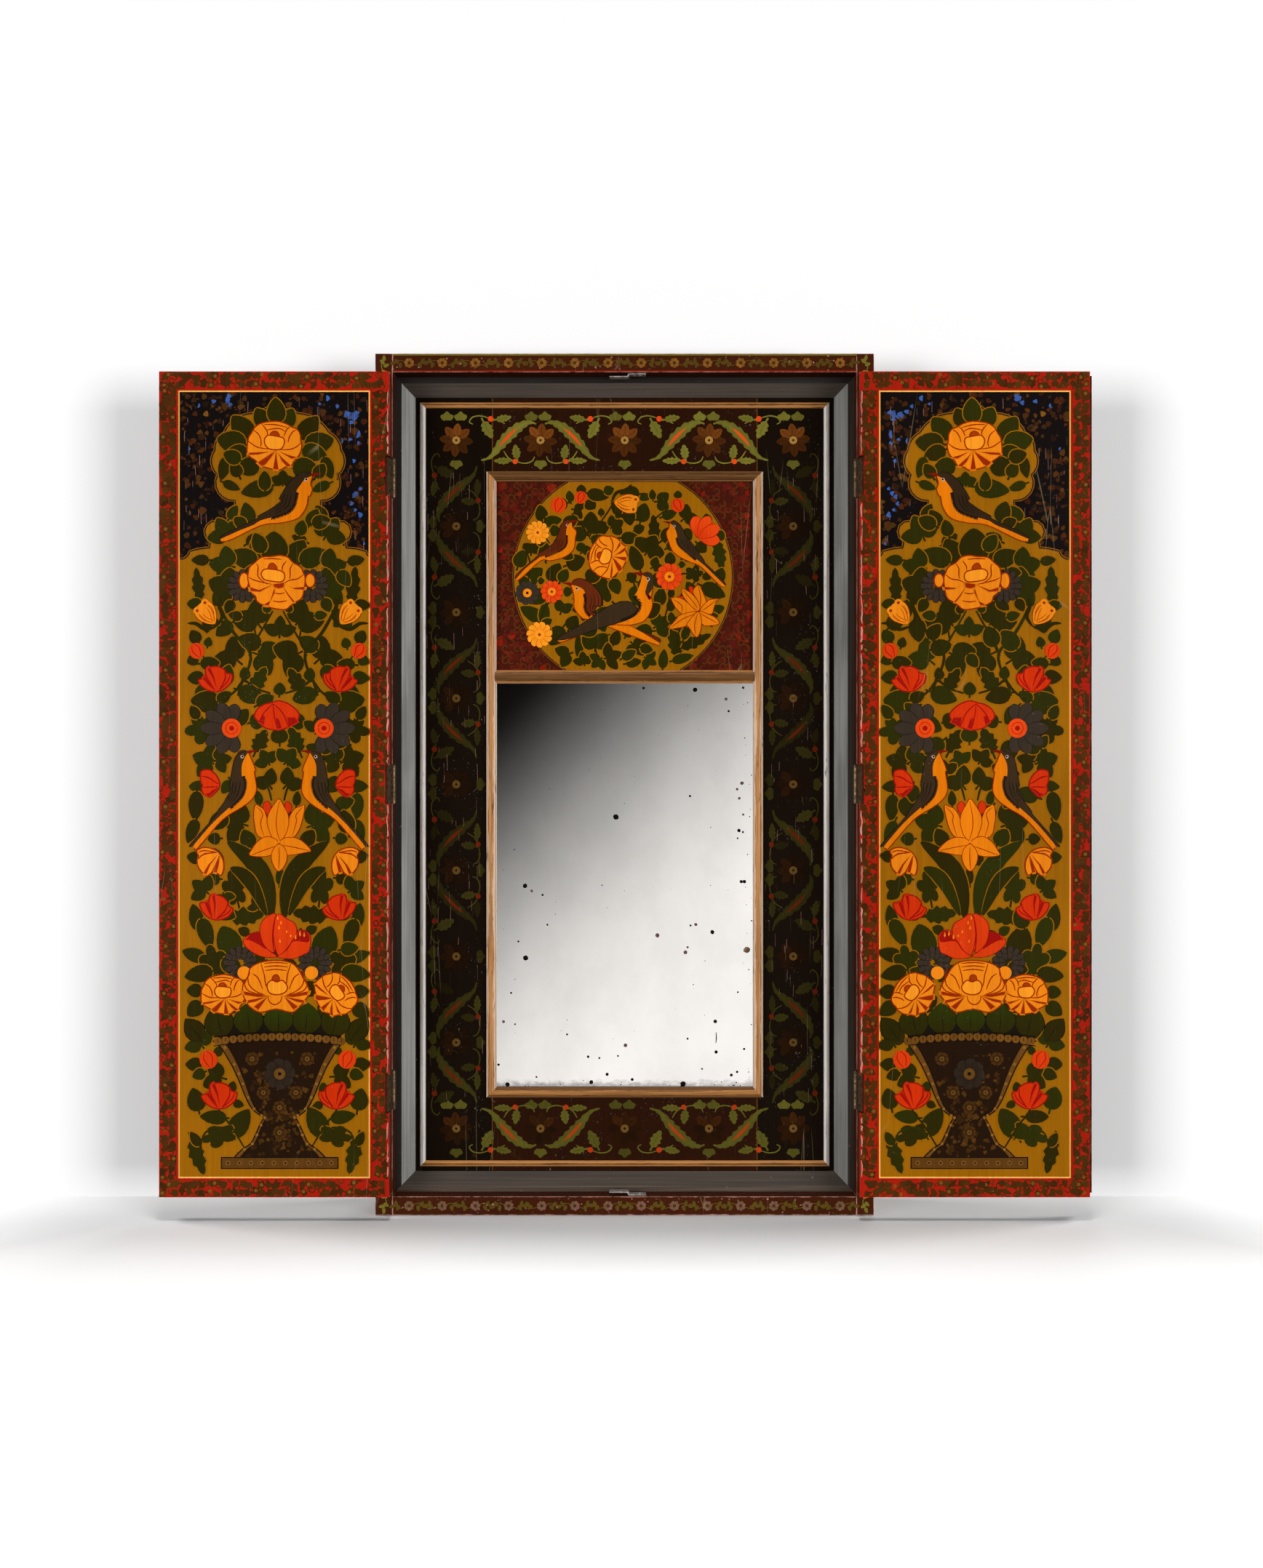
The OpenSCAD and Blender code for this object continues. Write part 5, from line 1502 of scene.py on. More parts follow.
def paint_foxing(rng):
    """Dark spots in the mirror, where the silvering has gone."""
    hue = colours()
    low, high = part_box("mirror_glass")
    face = Face((0, low.y, 0), (1, 0, 0), (0, 0, 1), (0, -1, 0), (high.x - low.x) / MM, high.z / MM)
    painting = Painting(face, GROUND_LIFT)
    for spots, ink in ((FAINT_FOXING, blended(hue["plum"], hue["rubbed"], 0.12)), (FOXING, SOOT)):
        for u, v, reach in spots:
            shape = lobed_outline(2.1 * reach, 2.1 * reach * rng.uniform(0.85, 1.15), 4, 0.12, 12)
            painting.patch(Spot(u, v, 1, rng.uniform(0, 360)).outline(shape), ink)
    painting.strip([(75.6, 144.8), (75.8, 140), (75.4, 135.8)], 0.9, SOOT, 0.4)
    edge = -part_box("mirror_frame_left")[1].x / MM
    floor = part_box("mirror_frame_bottom")[1].z / MM
    for number in range(46):
        if number % 2:
            u, v = edge - abs(rng.gauss(0, 4)) - 0.8, rng.uniform(floor + 2, floor + 345)
        else:
            u, v = rng.uniform(-edge + 1, edge - 1), floor + abs(rng.gauss(0, 2.5)) + 0.5
        painting.dot(u, v, rng.uniform(0.25, 0.6), SOOT, segments=7)
    painting.done("mirror_foxing", "case")


def sprig_row(painting, u0, u1, v, turn, rng, flower, stalk):
    """Sprigs in a row along a narrow face."""
    step = lengths()["sprig_step"]
    count = max(1, round(abs(u1 - u0) / step))
    for k in range(count):
        u = u0 + (u1 - u0) * (k + 0.5) / count
        place = (v, u) if turn else (u, v)
        sprig(painting, Spot(*place, 1, turn, rng.choice((-1, 1))), flower, stalk, rng)


def gold_frame(painting, face, inset, colour):
    """A thin gold line around a face, some way in from its edges."""
    half = face.width / 2 - inset
    painting.frame(-half, inset, half, face.height - inset, 1.0, colour)


def paint_case_edges(rng):
    """Small gold flowers along the front edges and outsides of the case boards."""
    hue = colours()
    flower = blended(hue["gold"], hue["yellow"], 0.5)
    stalk = blended(hue["foliage"], hue["maroon"], 0.35)
    low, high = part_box("case_left_side")[0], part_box("case_right_side")[1]
    wide, tall = (high.x - low.x) / MM, (high.z - low.z) / MM
    board = (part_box("case_left_side")[1].x - low.x) / MM
    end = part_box("case_bottom")[1].z / MM
    front = Face((0, low.y, 0), (1, 0, 0), (0, 0, 1), (0, -1, 0), wide, tall)
    painting = Painting(front, GROUND_LIFT)
    inside = wide / 2 - board
    painting.box(-inside, tall - 1.5, inside, tall - 0.4, blended(hue["foliage"], hue["maroon"], 0.35))
    red = blended(hue["red"], hue["maroon"], 0.45)
    painting.box(-inside, tall - end + 0.4, inside, tall - end + 1.4, red)
    dim = blended(flower, hue["maroon"], 0.74)
    sprig_row(painting, -inside, inside, tall - end / 2, 0, rng, dim, blended(stalk, hue["maroon"], 0.7))
    sprig_row(painting, -inside, inside, end / 2, 0, rng, blended(hue["rubbed"], hue["maroon"], 0.75),
              blended(stalk, hue["maroon"], 0.6))
    for _ in range(110):
        v = rng.choice((tall - end / 2, end / 2)) + rng.uniform(-end / 2 + 1.6, end / 2 - 1.6)
        tone = blended(hue["rubbed"], hue["maroon"], rng.uniform(0.5, 0.95))
        fleck(painting, rng.uniform(-inside + 2, inside - 2), v, rng.uniform(0.7, 2.2), tone, rng)
    flower = blended(flower, hue["maroon"], 0.55)
    for hand in (-1, 1):
        sprig_row(painting, 4, tall - 4, hand * (wide - board) / 2, 90, rng, flower, stalk)
    painting.done("case_front_sprigs", "case")
    flower = blended(hue["gold"], hue["yellow"], 0.5)
    for side, hand in SIDES.items():
        x = low.x if side == LEFT else high.x
        deep = (high.y - low.y) / MM
        face = Face((x, (low.y + high.y) / 2, 0), (0, 1, 0), (0, 0, 1), (-hand, 0, 0), deep, tall)
        painting = Painting(face, GROUND_LIFT)
        for v in (-17, 17):
            sprig_row(painting, 14, tall - 14, v, 90, rng, flower, stalk)
        gold_frame(painting, face, 5, hue["gold"])
        painting.done(f"case_{side}_side_sprigs", "case")


def paint_door_outside(side, rng):
    """The outer face of a door: gold lines and rows of sprigs on plain lacquer."""
    hue = colours()
    face = door_face(side, outer=True)
    painting = Painting(face, GROUND_LIFT)
    free_edge = 18  # the meeting strip covers this much of the right door
    for inset in (free_edge, free_edge + 4):
        gold_frame(painting, face, inset, hue["gold"])
    flower = blended(hue["gold"], hue["yellow"], 0.5)
    stalk = blended(hue["foliage"], hue["maroon"], 0.35)
    columns = 4
    for k in range(columns):
        u = (k - (columns - 1) / 2) * 33
        shift = 13 * (k % 2)
        sprig_row(painting, 34 + shift, face.height - 47 + shift, u, 90, rng, flower, stalk)
    painting.done(f"{side}_door_outside", f"{side}_door")


# Shader nodes

def put(tree, kind, sockets=None, **settings):
    """Places a shader node, with its settings and with constants or links on its inputs."""
    node = tree.nodes.new("ShaderNode" + kind)
    for name, value in settings.items():
        setattr(node, name, value)
    for name, value in (sockets or {}).items():
        if isinstance(value, bpy.types.NodeSocket):
            tree.links.new(value, node.inputs[name])
        else:
            node.inputs[name].default_value = value
    return node


def maths(tree, operation, first, second=None):
    """One step of arithmetic on one or two values."""
    sockets = {0: first} if second is None else {0: first, 1: second}
    return put(tree, "Math", sockets, operation=operation).outputs[0]


def noise(tree, scale, detail=2.0, roughness=0.55):
    """Noise over the object's own coordinates, stretched by a scale for each axis, per metre."""
    place = put(tree, "TexCoord").outputs["Object"]
    stretched = put(tree, "Mapping", {"Vector": place, "Scale": scale}).outputs[0]
    sockets = {"Vector": stretched, "Scale": 1.0, "Detail": detail, "Roughness": roughness}
    return put(tree, "TexNoise", sockets).outputs[0]


def ramp(tree, value, low, high, first=0.0, last=1.0, ease="SMOOTHSTEP"):
    """A value spread from one range to another and held at both ends."""
    sockets = {"Value": value, "From Min": low, "From Max": high, "To Min": first, "To Max": last}
    return put(tree, "MapRange", sockets, interpolation_type=ease).outputs[0]


def mixed(tree, share, first, second):
    """Two colours mixed by a share."""
    node = put(tree, "Mix", data_type="RGBA")
    for index, value in ((0, share), (6, first), (7, second)):
        if isinstance(value, bpy.types.NodeSocket):
            tree.links.new(value, node.inputs[index])
        else:
            node.inputs[index].default_value = value
    return node.outputs[2]


def new_group(name, inputs, outputs):
    """An empty shader group with named sockets. Returns its tree, its input node and its output node."""
    group = bpy.data.node_groups.new(name, "ShaderNodeTree")
    for label, kind in inputs:
        group.interface.new_socket(label, in_out="INPUT", socket_type="NodeSocket" + kind)
    for label, kind in outputs:
        group.interface.new_socket(label, in_out="OUTPUT", socket_type="NodeSocket" + kind)
    return group, group.nodes.new("NodeGroupInput"), group.nodes.new("NodeGroupOutput")


def aged_varnish():
    """Brush streaks, fading, long hairline cracks and dust in old varnished paint."""
    name = "aged varnish"
    if name in bpy.data.node_groups:
        return bpy.data.node_groups[name]
    group, given, result = new_group(
        name, [("Color", "Color"), *((label, "Float") for label in ("Streaks", "Fading", "Cracks", "Dust"))],
        [("Color", "Color"), ("Roughness", "Float"), ("Height", "Float")])
    take = given.outputs
    streak = maths(group, "SUBTRACT", noise(group, (420, 420, 16), 3), 0.5)
    fade = maths(group, "SUBTRACT", noise(group, (14, 14, 9), 3), 0.5)
    light = maths(group, "ADD", maths(group, "MULTIPLY", streak, take["Streaks"]),
                  maths(group, "MULTIPLY", fade, take["Fading"]))
    lit = maths(group, "ADD", light, 1.0)
    toned = put(group, "HueSaturation", {"Value": lit, "Color": take["Color"]}).outputs[0]
    place = put(group, "TexCoord").outputs["Object"]
    tall = put(group, "Mapping", {"Vector": place, "Scale": (52, 52, 5)}).outputs[0]
    cells = put(group, "TexVoronoi", {"Vector": tall, "Scale": 1.0}, feature="DISTANCE_TO_EDGE")
    edge = cells.outputs["Distance"]
    patchy = ramp(group, noise(group, (22, 22, 12), 1), 0.56, 0.7)
    hairline = maths(group, "MULTIPLY", ramp(group, edge, 0.002, 0.01, 1, 0), patchy)
    crack = maths(group, "MULTIPLY", hairline, take["Cracks"])
    cracked = mixed(group, crack, toned, (0.5, 0.36, 0.2, 1))
    speck = ramp(group, noise(group, (900, 900, 520), 1), 0.7, 0.78)
    drift = ramp(group, noise(group, (30, 30, 30), 2), 0.45, 0.75)
    dust = maths(group, "MULTIPLY", maths(group, "MULTIPLY", speck, drift), take["Dust"])
    group.links.new(mixed(group, dust, cracked, (0.55, 0.5, 0.42, 1)), result.inputs["Color"])
    worn = maths(group, "ADD", maths(group, "MULTIPLY", fade, 0.25), 0.42)
    rough = maths(group, "ADD", worn, maths(group, "MULTIPLY", dust, 0.3))
    group.links.new(rough, result.inputs["Roughness"])
    relief = maths(group, "SUBTRACT", streak, maths(group, "MULTIPLY", crack, 2.0))
    group.links.new(relief, result.inputs["Height"])
    return group


def rubbed_edges():
    """A mask along the edges of a board, given its two corners, broken up by noise."""
    name = "rubbed edges"
    if name in bpy.data.node_groups:
        return bpy.data.node_groups[name]
    group, given, result = new_group(
        name, [("Low corner", "Vector"), ("High corner", "Vector"), ("Reach", "Float"), ("Scuffs", "Float")],
        [("Mask", "Float")])
    take = given.outputs
    place = put(group, "TexCoord").outputs["Object"]
    below = put(group, "VectorMath", {0: place, 1: take["Low corner"]}, operation="SUBTRACT").outputs[0]
    above = put(group, "VectorMath", {0: take["High corner"], 1: place}, operation="SUBTRACT").outputs[0]
    near = put(group, "VectorMath", {0: below, 1: above}, operation="MINIMUM").outputs[0]
    x, y, z = put(group, "SeparateXYZ", {0: near}).outputs
    smaller = maths(group, "MINIMUM", x, y)
    larger = maths(group, "MAXIMUM", x, y)
    middle = maths(group, "MAXIMUM", smaller, maths(group, "MINIMUM", larger, z))
    twice = maths(group, "MULTIPLY", take["Reach"], 2.0)
    ragged = maths(group, "MULTIPLY", noise(group, (120, 120, 60), 4, 0.7), twice)
    inset = maths(group, "SUBTRACT", middle, maths(group, "SUBTRACT", ragged, take["Reach"]))
    rub = ramp(group, inset, 0.0, 0.0006, 1, 0)
    scuff = ramp(group, noise(group, (60, 60, 26), 5, 0.75), 0.66, 0.74)
    total = maths(group, "MAXIMUM", rub, maths(group, "MULTIPLY", scuff, take["Scuffs"]))
    group.links.new(total, result.inputs["Mask"])
    return group


def grouped(tree, group, **sockets):
    """Places a node group in a material. Underscores in the names stand for spaces."""
    node = tree.nodes.new("ShaderNodeGroup")
    node.node_tree = group
    for name, value in sockets.items():
        target = node.inputs[name.replace("_", " ")]
        if isinstance(value, bpy.types.NodeSocket):
            tree.links.new(value, target)
        else:
            target.default_value = value
    return node


def new_material(name, gloss=0.2):
    """A material with its Principled shader. Returns both."""
    material = bpy.data.materials.new(name)
    material.use_nodes = True
    shader = material.node_tree.nodes["Principled BSDF"]
    shader.inputs["Specular IOR Level"].default_value = gloss
    return material, shader


def bumped(tree, shader, height, distance, strength=0.4):
    """Gives a shader its relief."""
    bump = put(tree, "Bump", {"Height": height, "Distance": distance, "Strength": strength})
    tree.links.new(bump.outputs["Normal"], shader.inputs["Normal"])


def paint_material():
    """Painted ornament under old varnish, in the pigments that the strokes carry."""
    name = "painted_ornament"
    if name in bpy.data.materials:
        return bpy.data.materials[name]
    material, shader = new_material(name, 0.02)
    tree = material.node_tree
    stroke = put(tree, "Attribute", attribute_name="pigment").outputs["Color"]
    aged = grouped(tree, aged_varnish(), Color=stroke, Streaks=0.45, Fading=0.45, Cracks=0.25, Dust=0.2)
    tree.links.new(aged.outputs["Color"], shader.inputs["Base Color"])
    tree.links.new(aged.outputs["Roughness"], shader.inputs["Roughness"])
    bumped(tree, shader, aged.outputs["Height"], 0.0003)
    return material


def board_material(name, node, ground, rub, reach=0.0012, scuffs=0.4, streaks=0.5):
    """Lacquer on one board, rubbed through to its ground along the board's edges."""
    material, shader = new_material(name, 0.03)
    tree = material.node_tree
    low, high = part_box(node)
    aged = grouped(tree, aged_varnish(), Color=ground, Streaks=streaks, Fading=0.7, Cracks=0.2, Dust=0.35)
    worn = grouped(tree, rubbed_edges(), Low_corner=low, High_corner=high, Reach=reach, Scuffs=scuffs)
    bare = mixed(tree, noise(tree, (200, 200, 60), 2), rub, blended(rub, ground, 0.6))
    colour = mixed(tree, worn.outputs["Mask"], aged.outputs["Color"], bare)
    tree.links.new(colour, shader.inputs["Base Color"])
    rough = maths(tree, "ADD", aged.outputs["Roughness"], maths(tree, "MULTIPLY", worn.outputs["Mask"], 0.25))
    tree.links.new(rough, shader.inputs["Roughness"])
    relief = maths(tree, "SUBTRACT", aged.outputs["Height"], worn.outputs["Mask"])
    bumped(tree, shader, relief, 0.0003)
    return material


def gilt_material(node, upright, core, rim, share):
    """Old gilding: a worn core between two paler rims, partly rubbed gilding and partly a painted highlight,
    with grime in streaks along the moulding.
    """
    material, shader = new_material(f"{node}_gilding", 0.15)
    tree = material.node_tree
    grime_ink = colours()["urn"]
    low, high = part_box(node)
    axis = 0 if upright else 2
    place = put(tree, "SeparateXYZ", {0: put(tree, "TexCoord").outputs["Object"]}).outputs[axis]
    across = ramp(tree, place, low[axis], high[axis], ease="LINEAR")
    middle = maths(tree, "ABSOLUTE", maths(tree, "SUBTRACT", across, 0.5))
    grain = noise(tree, (900, 900, 22) if upright else (22, 900, 900), 4, 0.65)
    patches = noise(tree, (60, 60, 20) if upright else (20, 60, 60), 4, 0.7)
    edge = maths(tree, "ADD", middle, maths(tree, "MULTIPLY", maths(tree, "SUBTRACT", patches, 0.5), 0.5))
    # The pale rims are partly rubbed gilding and partly a painted highlight along the moulding's edges.
    rub = ramp(tree, edge, 0.34 - 0.3 * share, 0.42 - 0.3 * share)
    gold = mixed(tree, ramp(tree, grain, 0.35, 0.65), blended(core, grime_ink, 0.45), core)
    pale = mixed(tree, rub, gold, rim)
    grime = ramp(tree, noise(tree, (260, 260, 40) if upright else (40, 260, 260), 3, 0.7), 0.58, 0.72)
    colour = mixed(tree, maths(tree, "MULTIPLY", grime, 0.7), pale, grime_ink)
    tree.links.new(colour, shader.inputs["Base Color"])
    tree.links.new(ramp(tree, rub, 0, 1, 0.15, 0), shader.inputs["Metallic"])
    tree.links.new(ramp(tree, grime, 0, 1, 0.4, 0.6), shader.inputs["Roughness"])
    bumped(tree, shader, maths(tree, "SUBTRACT", grain, grime), 0.0004)
    return material


def bevel_material(name, part, slope, ledge):
    """Grey paint brushed along the bevel's slope, scuffed and smeared, and a ledge of its own colour. Both
    colours come lightened or darkened for the bevel's side, as painted light and shade.
    """
    material, shader = new_material(name)
    tree = material.node_tree
    hue = colours()
    upright = part in SIDES
    low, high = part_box(f"bevel_{part}")
    axes = put(tree, "SeparateXYZ", {0: put(tree, "TexCoord").outputs["Object"]}).outputs
    place = axes["X" if upright else "Z"]
    start = {"left": low.x, "right": high.x, "top": high.z, "bottom": low.z}[part]
    inward = maths(tree, "ABSOLUTE", maths(tree, "SUBTRACT", place, start))
    brushed = noise(tree, (700, 700, 9) if upright else (9, 700, 700), 4, 0.6)
    smear = ramp(tree, noise(tree, (50, 50, 9) if upright else (9, 50, 50), 3, 0.6), 0.4, 0.72)
    scuff = ramp(tree, noise(tree, (160, 160, 70), 5, 0.75), 0.67, 0.74)
    edge = lengths()["ledge"] * MM
    on_slope = ramp(tree, inward, edge - 0.0002, edge + 0.0002)
    colour = mixed(tree, ramp(tree, brushed, 0.3, 0.7), blended(slope, hue["black"], 0.35), slope)
    colour = mixed(tree, maths(tree, "MULTIPLY", smear, 0.5), colour, blended(slope, hue["black"], 0.6))
    dark = mixed(tree, ramp(tree, brushed, 0.35, 0.7), blended(ledge, hue["black"], 0.5), ledge)
    colour = mixed(tree, on_slope, dark, colour)
    colour = mixed(tree, maths(tree, "MULTIPLY", scuff, 0.6), colour, blended(slope, hue["silver"], 0.7))
    tree.links.new(colour, shader.inputs["Base Color"])
    tree.links.new(ramp(tree, smear, 0, 1, 0.36, 0.5), shader.inputs["Roughness"])
    bumped(tree, shader, maths(tree, "ADD", brushed, scuff), 0.0004)
    return material


def mirror_material(name):
    """Old silvering, grey in clouds and foxed with black spots that crowd its lower edge."""
    material, shader = new_material(name)
    tree = material.node_tree
    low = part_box("mirror_glass")[0]
    place = put(tree, "TexCoord").outputs["Object"]
    crowd = ramp(tree, noise(tree, (18, 0, 14), 2), 0.35, 0.7)
    spots = 0.0
    for cells, widest, kept in ((110, 0.1, 0.7), (210, 0.12, 0.6)):
        flat = put(tree, "Mapping", {"Vector": place, "Scale": (cells, 0, cells)}).outputs[0]
        cell = put(tree, "TexVoronoi", {"Vector": flat, "Scale": 1.0})
        chance = put(tree, "SeparateColor", {0: cell.outputs["Color"]}).outputs[0]
        widths = ramp(tree, chance, kept, 1.0, 0, widest)
        chosen = maths(tree, "MULTIPLY", widths, ramp(tree, crowd, 0, 1, 0.5, 1.1))
        ragged = maths(tree, "MULTIPLY", noise(tree, (cells * 9, 0, cells * 9), 2), 0.06)
        reach = maths(tree, "SUBTRACT", maths(tree, "ADD", cell.outputs["Distance"], ragged), chosen)
        spots = maths(tree, "MAXIMUM", spots, ramp(tree, reach, -0.01, 0.03, 1, 0))
    height = put(tree, "SeparateXYZ", {0: place}).outputs["Z"]
    ragged = maths(tree, "MULTIPLY", noise(tree, (160, 0, 300), 3), -0.012)
    hem = ramp(tree, maths(tree, "ADD", height, ragged), low.z - 0.003, low.z + 0.004, 0.45, 0)
    cloud = noise(tree, (16, 16, 12), 4, 0.6)
    silver = mixed(tree, ramp(tree, cloud, 0.3, 0.75), (0.87, 0.84, 0.81, 1), (0.77, 0.745, 0.715, 1))
    dark = maths(tree, "MAXIMUM", spots, hem)
    tree.links.new(mixed(tree, dark, silver, (0.02, 0.02, 0.025, 1)), shader.inputs["Base Color"])
    tree.links.new(ramp(tree, dark, 0, 1, 0.045, 0.5), shader.inputs["Roughness"])
    shader.inputs["Metallic"].default_value = 1.0
    return material


def metal_material(name, ground, roughness):
    """Hand-worked metal, darkened in blotches."""
    material, shader = new_material(name)
    tree = material.node_tree
    blotch = ramp(tree, noise(tree, (300, 300, 300), 4, 0.65), 0.35, 0.7)
    colour = mixed(tree, blotch, ground, blended(ground, SOOT, 0.7))
    tree.links.new(colour, shader.inputs["Base Color"])
    tree.links.new(ramp(tree, blotch, 0, 1, roughness, roughness + 0.25), shader.inputs["Roughness"])
    tree.links.new(ramp(tree, blotch, 0, 1, 0.8, 0.5), shader.inputs["Metallic"])
    bumped(tree, shader, blotch, 0.0003)
    return material


def wood_material(name, ground, upright):
    """Plain planed wood with long grain, darkened with age."""
    material, shader = new_material(name)
    tree = material.node_tree
    run = (240, 240, 7) if upright else (7, 240, 240)
    grain = noise(tree, run, 5, 0.6)
    band = noise(tree, tuple(s / 6 for s in run), 2)
    light = mixed(tree, ramp(tree, grain, 0.35, 0.65), blended(ground, SOOT, 0.5), ground)
    colour = mixed(tree, ramp(tree, band, 0.4, 0.7), light, blended(ground, SOOT, 0.4))
    tree.links.new(colour, shader.inputs["Base Color"])
    tree.links.new(ramp(tree, grain, 0, 1, 0.62, 0.8), shader.inputs["Roughness"])
    bumped(tree, shader, grain, 0.0006)
    return material


# Operators

def dress(node, material):
    """Gives a CAD node its finish."""
    slots = frame["nodes"][node].data.materials
    slots.clear()
    slots.append(material)


class MIRRORCASE_OT_boards(bpy.types.Operator):
    """Finish the lacquered boards of the case and the doors"""
    bl_idname = "mirror_case.boards"
    bl_label = "Boards"

    def execute(self, context):
        hue = colours()
        for node in ("case_left_side", "case_right_side", "case_top", "case_bottom"):
            dress(node, board_material(f"{node}_lacquer", node, hue["maroon"], hue["rubbed"]))
        strip = blended(hue["maroon"], hue["black"], 0.5)
        strip_lacquer = board_material("meeting_strip_lacquer", "meeting_strip", strip, hue["rubbed"], 0.0008)
        dress("meeting_strip", strip_lacquer)
        for side in SIDES:
            node = f"{side}_door_board"
            ground = blended(hue["maroon"], hue["red"], 0.12)
            dress(node, board_material(f"{node}_lacquer", node, ground, hue["rubbed"], 0.0015))
        for part in ("left_stile", "right_stile", "top_rail", "bottom_rail"):
            node = f"panel_{part}"
            ground = panel_ground(part)
            dress(node, board_material(f"{node}_lacquer", node, ground, hue["urn_gold"], 0.0, 0.2))
        picture = board_material("picture_board", "bird_picture", hue["madder"], hue["rubbed"], 0.0, 0.1)
        dress("bird_picture", picture)
        return {"FINISHED"}


class MIRRORCASE_OT_mouldings(bpy.types.Operator):
    """Finish the painted bevel, the gilt bead and the gilt moulding around the mirror"""
    bl_idname = "mirror_case.mouldings"
    bl_label = "Mouldings"

    def execute(self, context):
        hue = colours()
        warm = blended(hue["bevel"], hue["gilt"], 0.3)
        # Painted light and shade by side: the left slope is painted lightest and the right one darker, the
        # top slope, which faces down, is painted dark as shade, and the bottom slope is dark too; the ledge
        # is nearly black but painted paler on the bottom, where it faces up, as painted light.
        bevels_by_light = (("left", hue["bevel"], 1.0, 0.025), ("right", hue["bevel"], 0.62, 0.055),
                  ("top", warm, 0.2, 0.012), ("bottom", warm, 0.17, 0.16))
        for part, tint, slope, ledge in bevels_by_light:
            slope_ink = blended(hue["black"], tint, slope)
            ledge_ink = blended(hue["black"], hue["silver"], ledge)
            dress(f"bevel_{part}", bevel_material(f"bevel_{part}_paint", part, slope_ink, ledge_ink))
        # Painted light and shade: the uprights get bright gilt cores, near-white beads and pale rims as a
        # painted highlight; the level members and the crossbar are mostly a dull darkened gilt as painted
        # shade, and only the bottom frame's core and the level beads' rims stay bright gilt.
        dull = blended(hue["gilt"], hue["urn"], 0.65)
        grey = blended(hue["silver"], hue["bevel"], 0.5)
        for part in ("left", "right", "top", "bottom"):
            upright = part in SIDES
            core = hue["gilt"] if upright or part == "bottom" else dull
            bead = blended(hue["silver"], WHITE, 0.2) if upright else dull
            bead_rim = blended(grey, WHITE, 0.6) if upright else hue["gilt"]
            dress(f"bead_{part}", gilt_material(f"bead_{part}", upright, bead, bead_rim, 0.8))
            rim = hue["silver"] if upright else dull
            dress(f"mirror_frame_{part}", gilt_material(f"mirror_frame_{part}", upright, core, rim, 0.4))
        rim = blended(hue["gilt"], hue["urn"], 0.3)
        dress("mirror_crossbar", gilt_material("mirror_crossbar", False, dull, rim, 0.2))
        return {"FINISHED"}


class MIRRORCASE_OT_mirror(bpy.types.Operator):
    """Silver the old mirror plate and set its dark spots"""
    bl_idname = "mirror_case.mirror"
    bl_label = "Mirror"

    def execute(self, context):
        dress("mirror_glass", mirror_material("old_silvering"))
        paint_foxing(random.Random(SEED + 70))
        return {"FINISHED"}


class MIRRORCASE_OT_fittings(bpy.types.Operator):
    """Finish hinges, nails, keepers and the plain wood at the back"""
    bl_idname = "mirror_case.fittings"
    bl_label = "Fittings"

    def execute(self, context):
        hue = colours()
        finishes = {
            "brass": metal_material("dull_brass", hue["brass"], 0.38),
            "iron": metal_material("dark_iron", hue["iron"], 0.5),
        }
        bright = metal_material("worn_keepers", blended(hue["brass"], WHITE, 0.35), 0.5)
        planks = wood_material("back_wood_level", hue["wood"], False)
        uprights = wood_material("back_wood_upright", blended(hue["wood"], hue["urn"], 0.3), True)
        for row in frame["record"]["subparts"]:
            node, slot = row["node"], row["material_slot"]
            if "keeper" in node:
                dress(node, bright)
            elif slot in finishes:
                dress(node, finishes[slot])
            elif slot == "bare_wood":
                dress(node, uprights if node.startswith("batten") else planks)
        return {"FINISHED"}


class MIRRORCASE_OT_door_grounds(bpy.types.Operator):
    """Paint the fields, spandrels and borders of both doors"""
    bl_idname = "mirror_case.door_grounds"
    bl_label = "Door grounds"

    def execute(self, context):
        for number, side in enumerate(SIDES):
            paint_door_field(side, random.Random(SEED + number))
            paint_door_border(side, random.Random(SEED + 5 + number))
        return {"FINISHED"}


class MIRRORCASE_OT_door_plants(bpy.types.Operator):
    """Paint the leaves and flowers of both doors"""
    bl_idname = "mirror_case.door_plants"
    bl_label = "Door plants"

    def execute(self, context):
        for number, side in enumerate(SIDES):
            paint_door_foliage(side, random.Random(SEED + 10 + number))
            paint_door_flowers(side)
        return {"FINISHED"}


class MIRRORCASE_OT_door_birds(bpy.types.Operator):
    """Paint the birds and the urns of both doors"""
    bl_idname = "mirror_case.door_birds"
    bl_label = "Door birds and urns"

    def execute(self, context):
        for number, side in enumerate(SIDES):
            paint_door_birds(side)
            paint_urn(side, random.Random(SEED + 20 + number))
        return {"FINISHED"}


class MIRRORCASE_OT_panel(bpy.types.Operator):
    """Paint the arabesques on the inner panel"""
    bl_idname = "mirror_case.panel"
    bl_label = "Panel"

    def execute(self, context):
        paint_panel(random.Random(SEED + 30))
        return {"FINISHED"}


class MIRRORCASE_OT_picture(bpy.types.Operator):
    """Paint the bird picture over the mirror"""
    bl_idname = "mirror_case.picture"
    bl_label = "Picture"

    def execute(self, context):
        paint_picture(random.Random(SEED + 40))
        return {"FINISHED"}


class MIRRORCASE_OT_outsides(bpy.types.Operator):
    """Paint the case's edges and the outsides of the case and doors"""
    bl_idname = "mirror_case.outsides"
    bl_label = "Edges and outsides"

    def execute(self, context):
        paint_case_edges(random.Random(SEED + 50))
        for number, side in enumerate(SIDES):
            paint_door_outside(side, random.Random(SEED + 60 + number))
        return {"FINISHED"}


STAGE_WIDTH = 8  # width of the floor and the backdrop, in metres
STAGE_REACH = 4  # how far the floor runs forwards and the backdrop up, in metres
GLOW_START, GLOW_FULL = 0.02, 0.2  # distances from the case between which the paper's glow grows
VIEW_SHIFT = (0.0056, 0.0003)  # how far the view's middle lies right of and above the case's, in metres


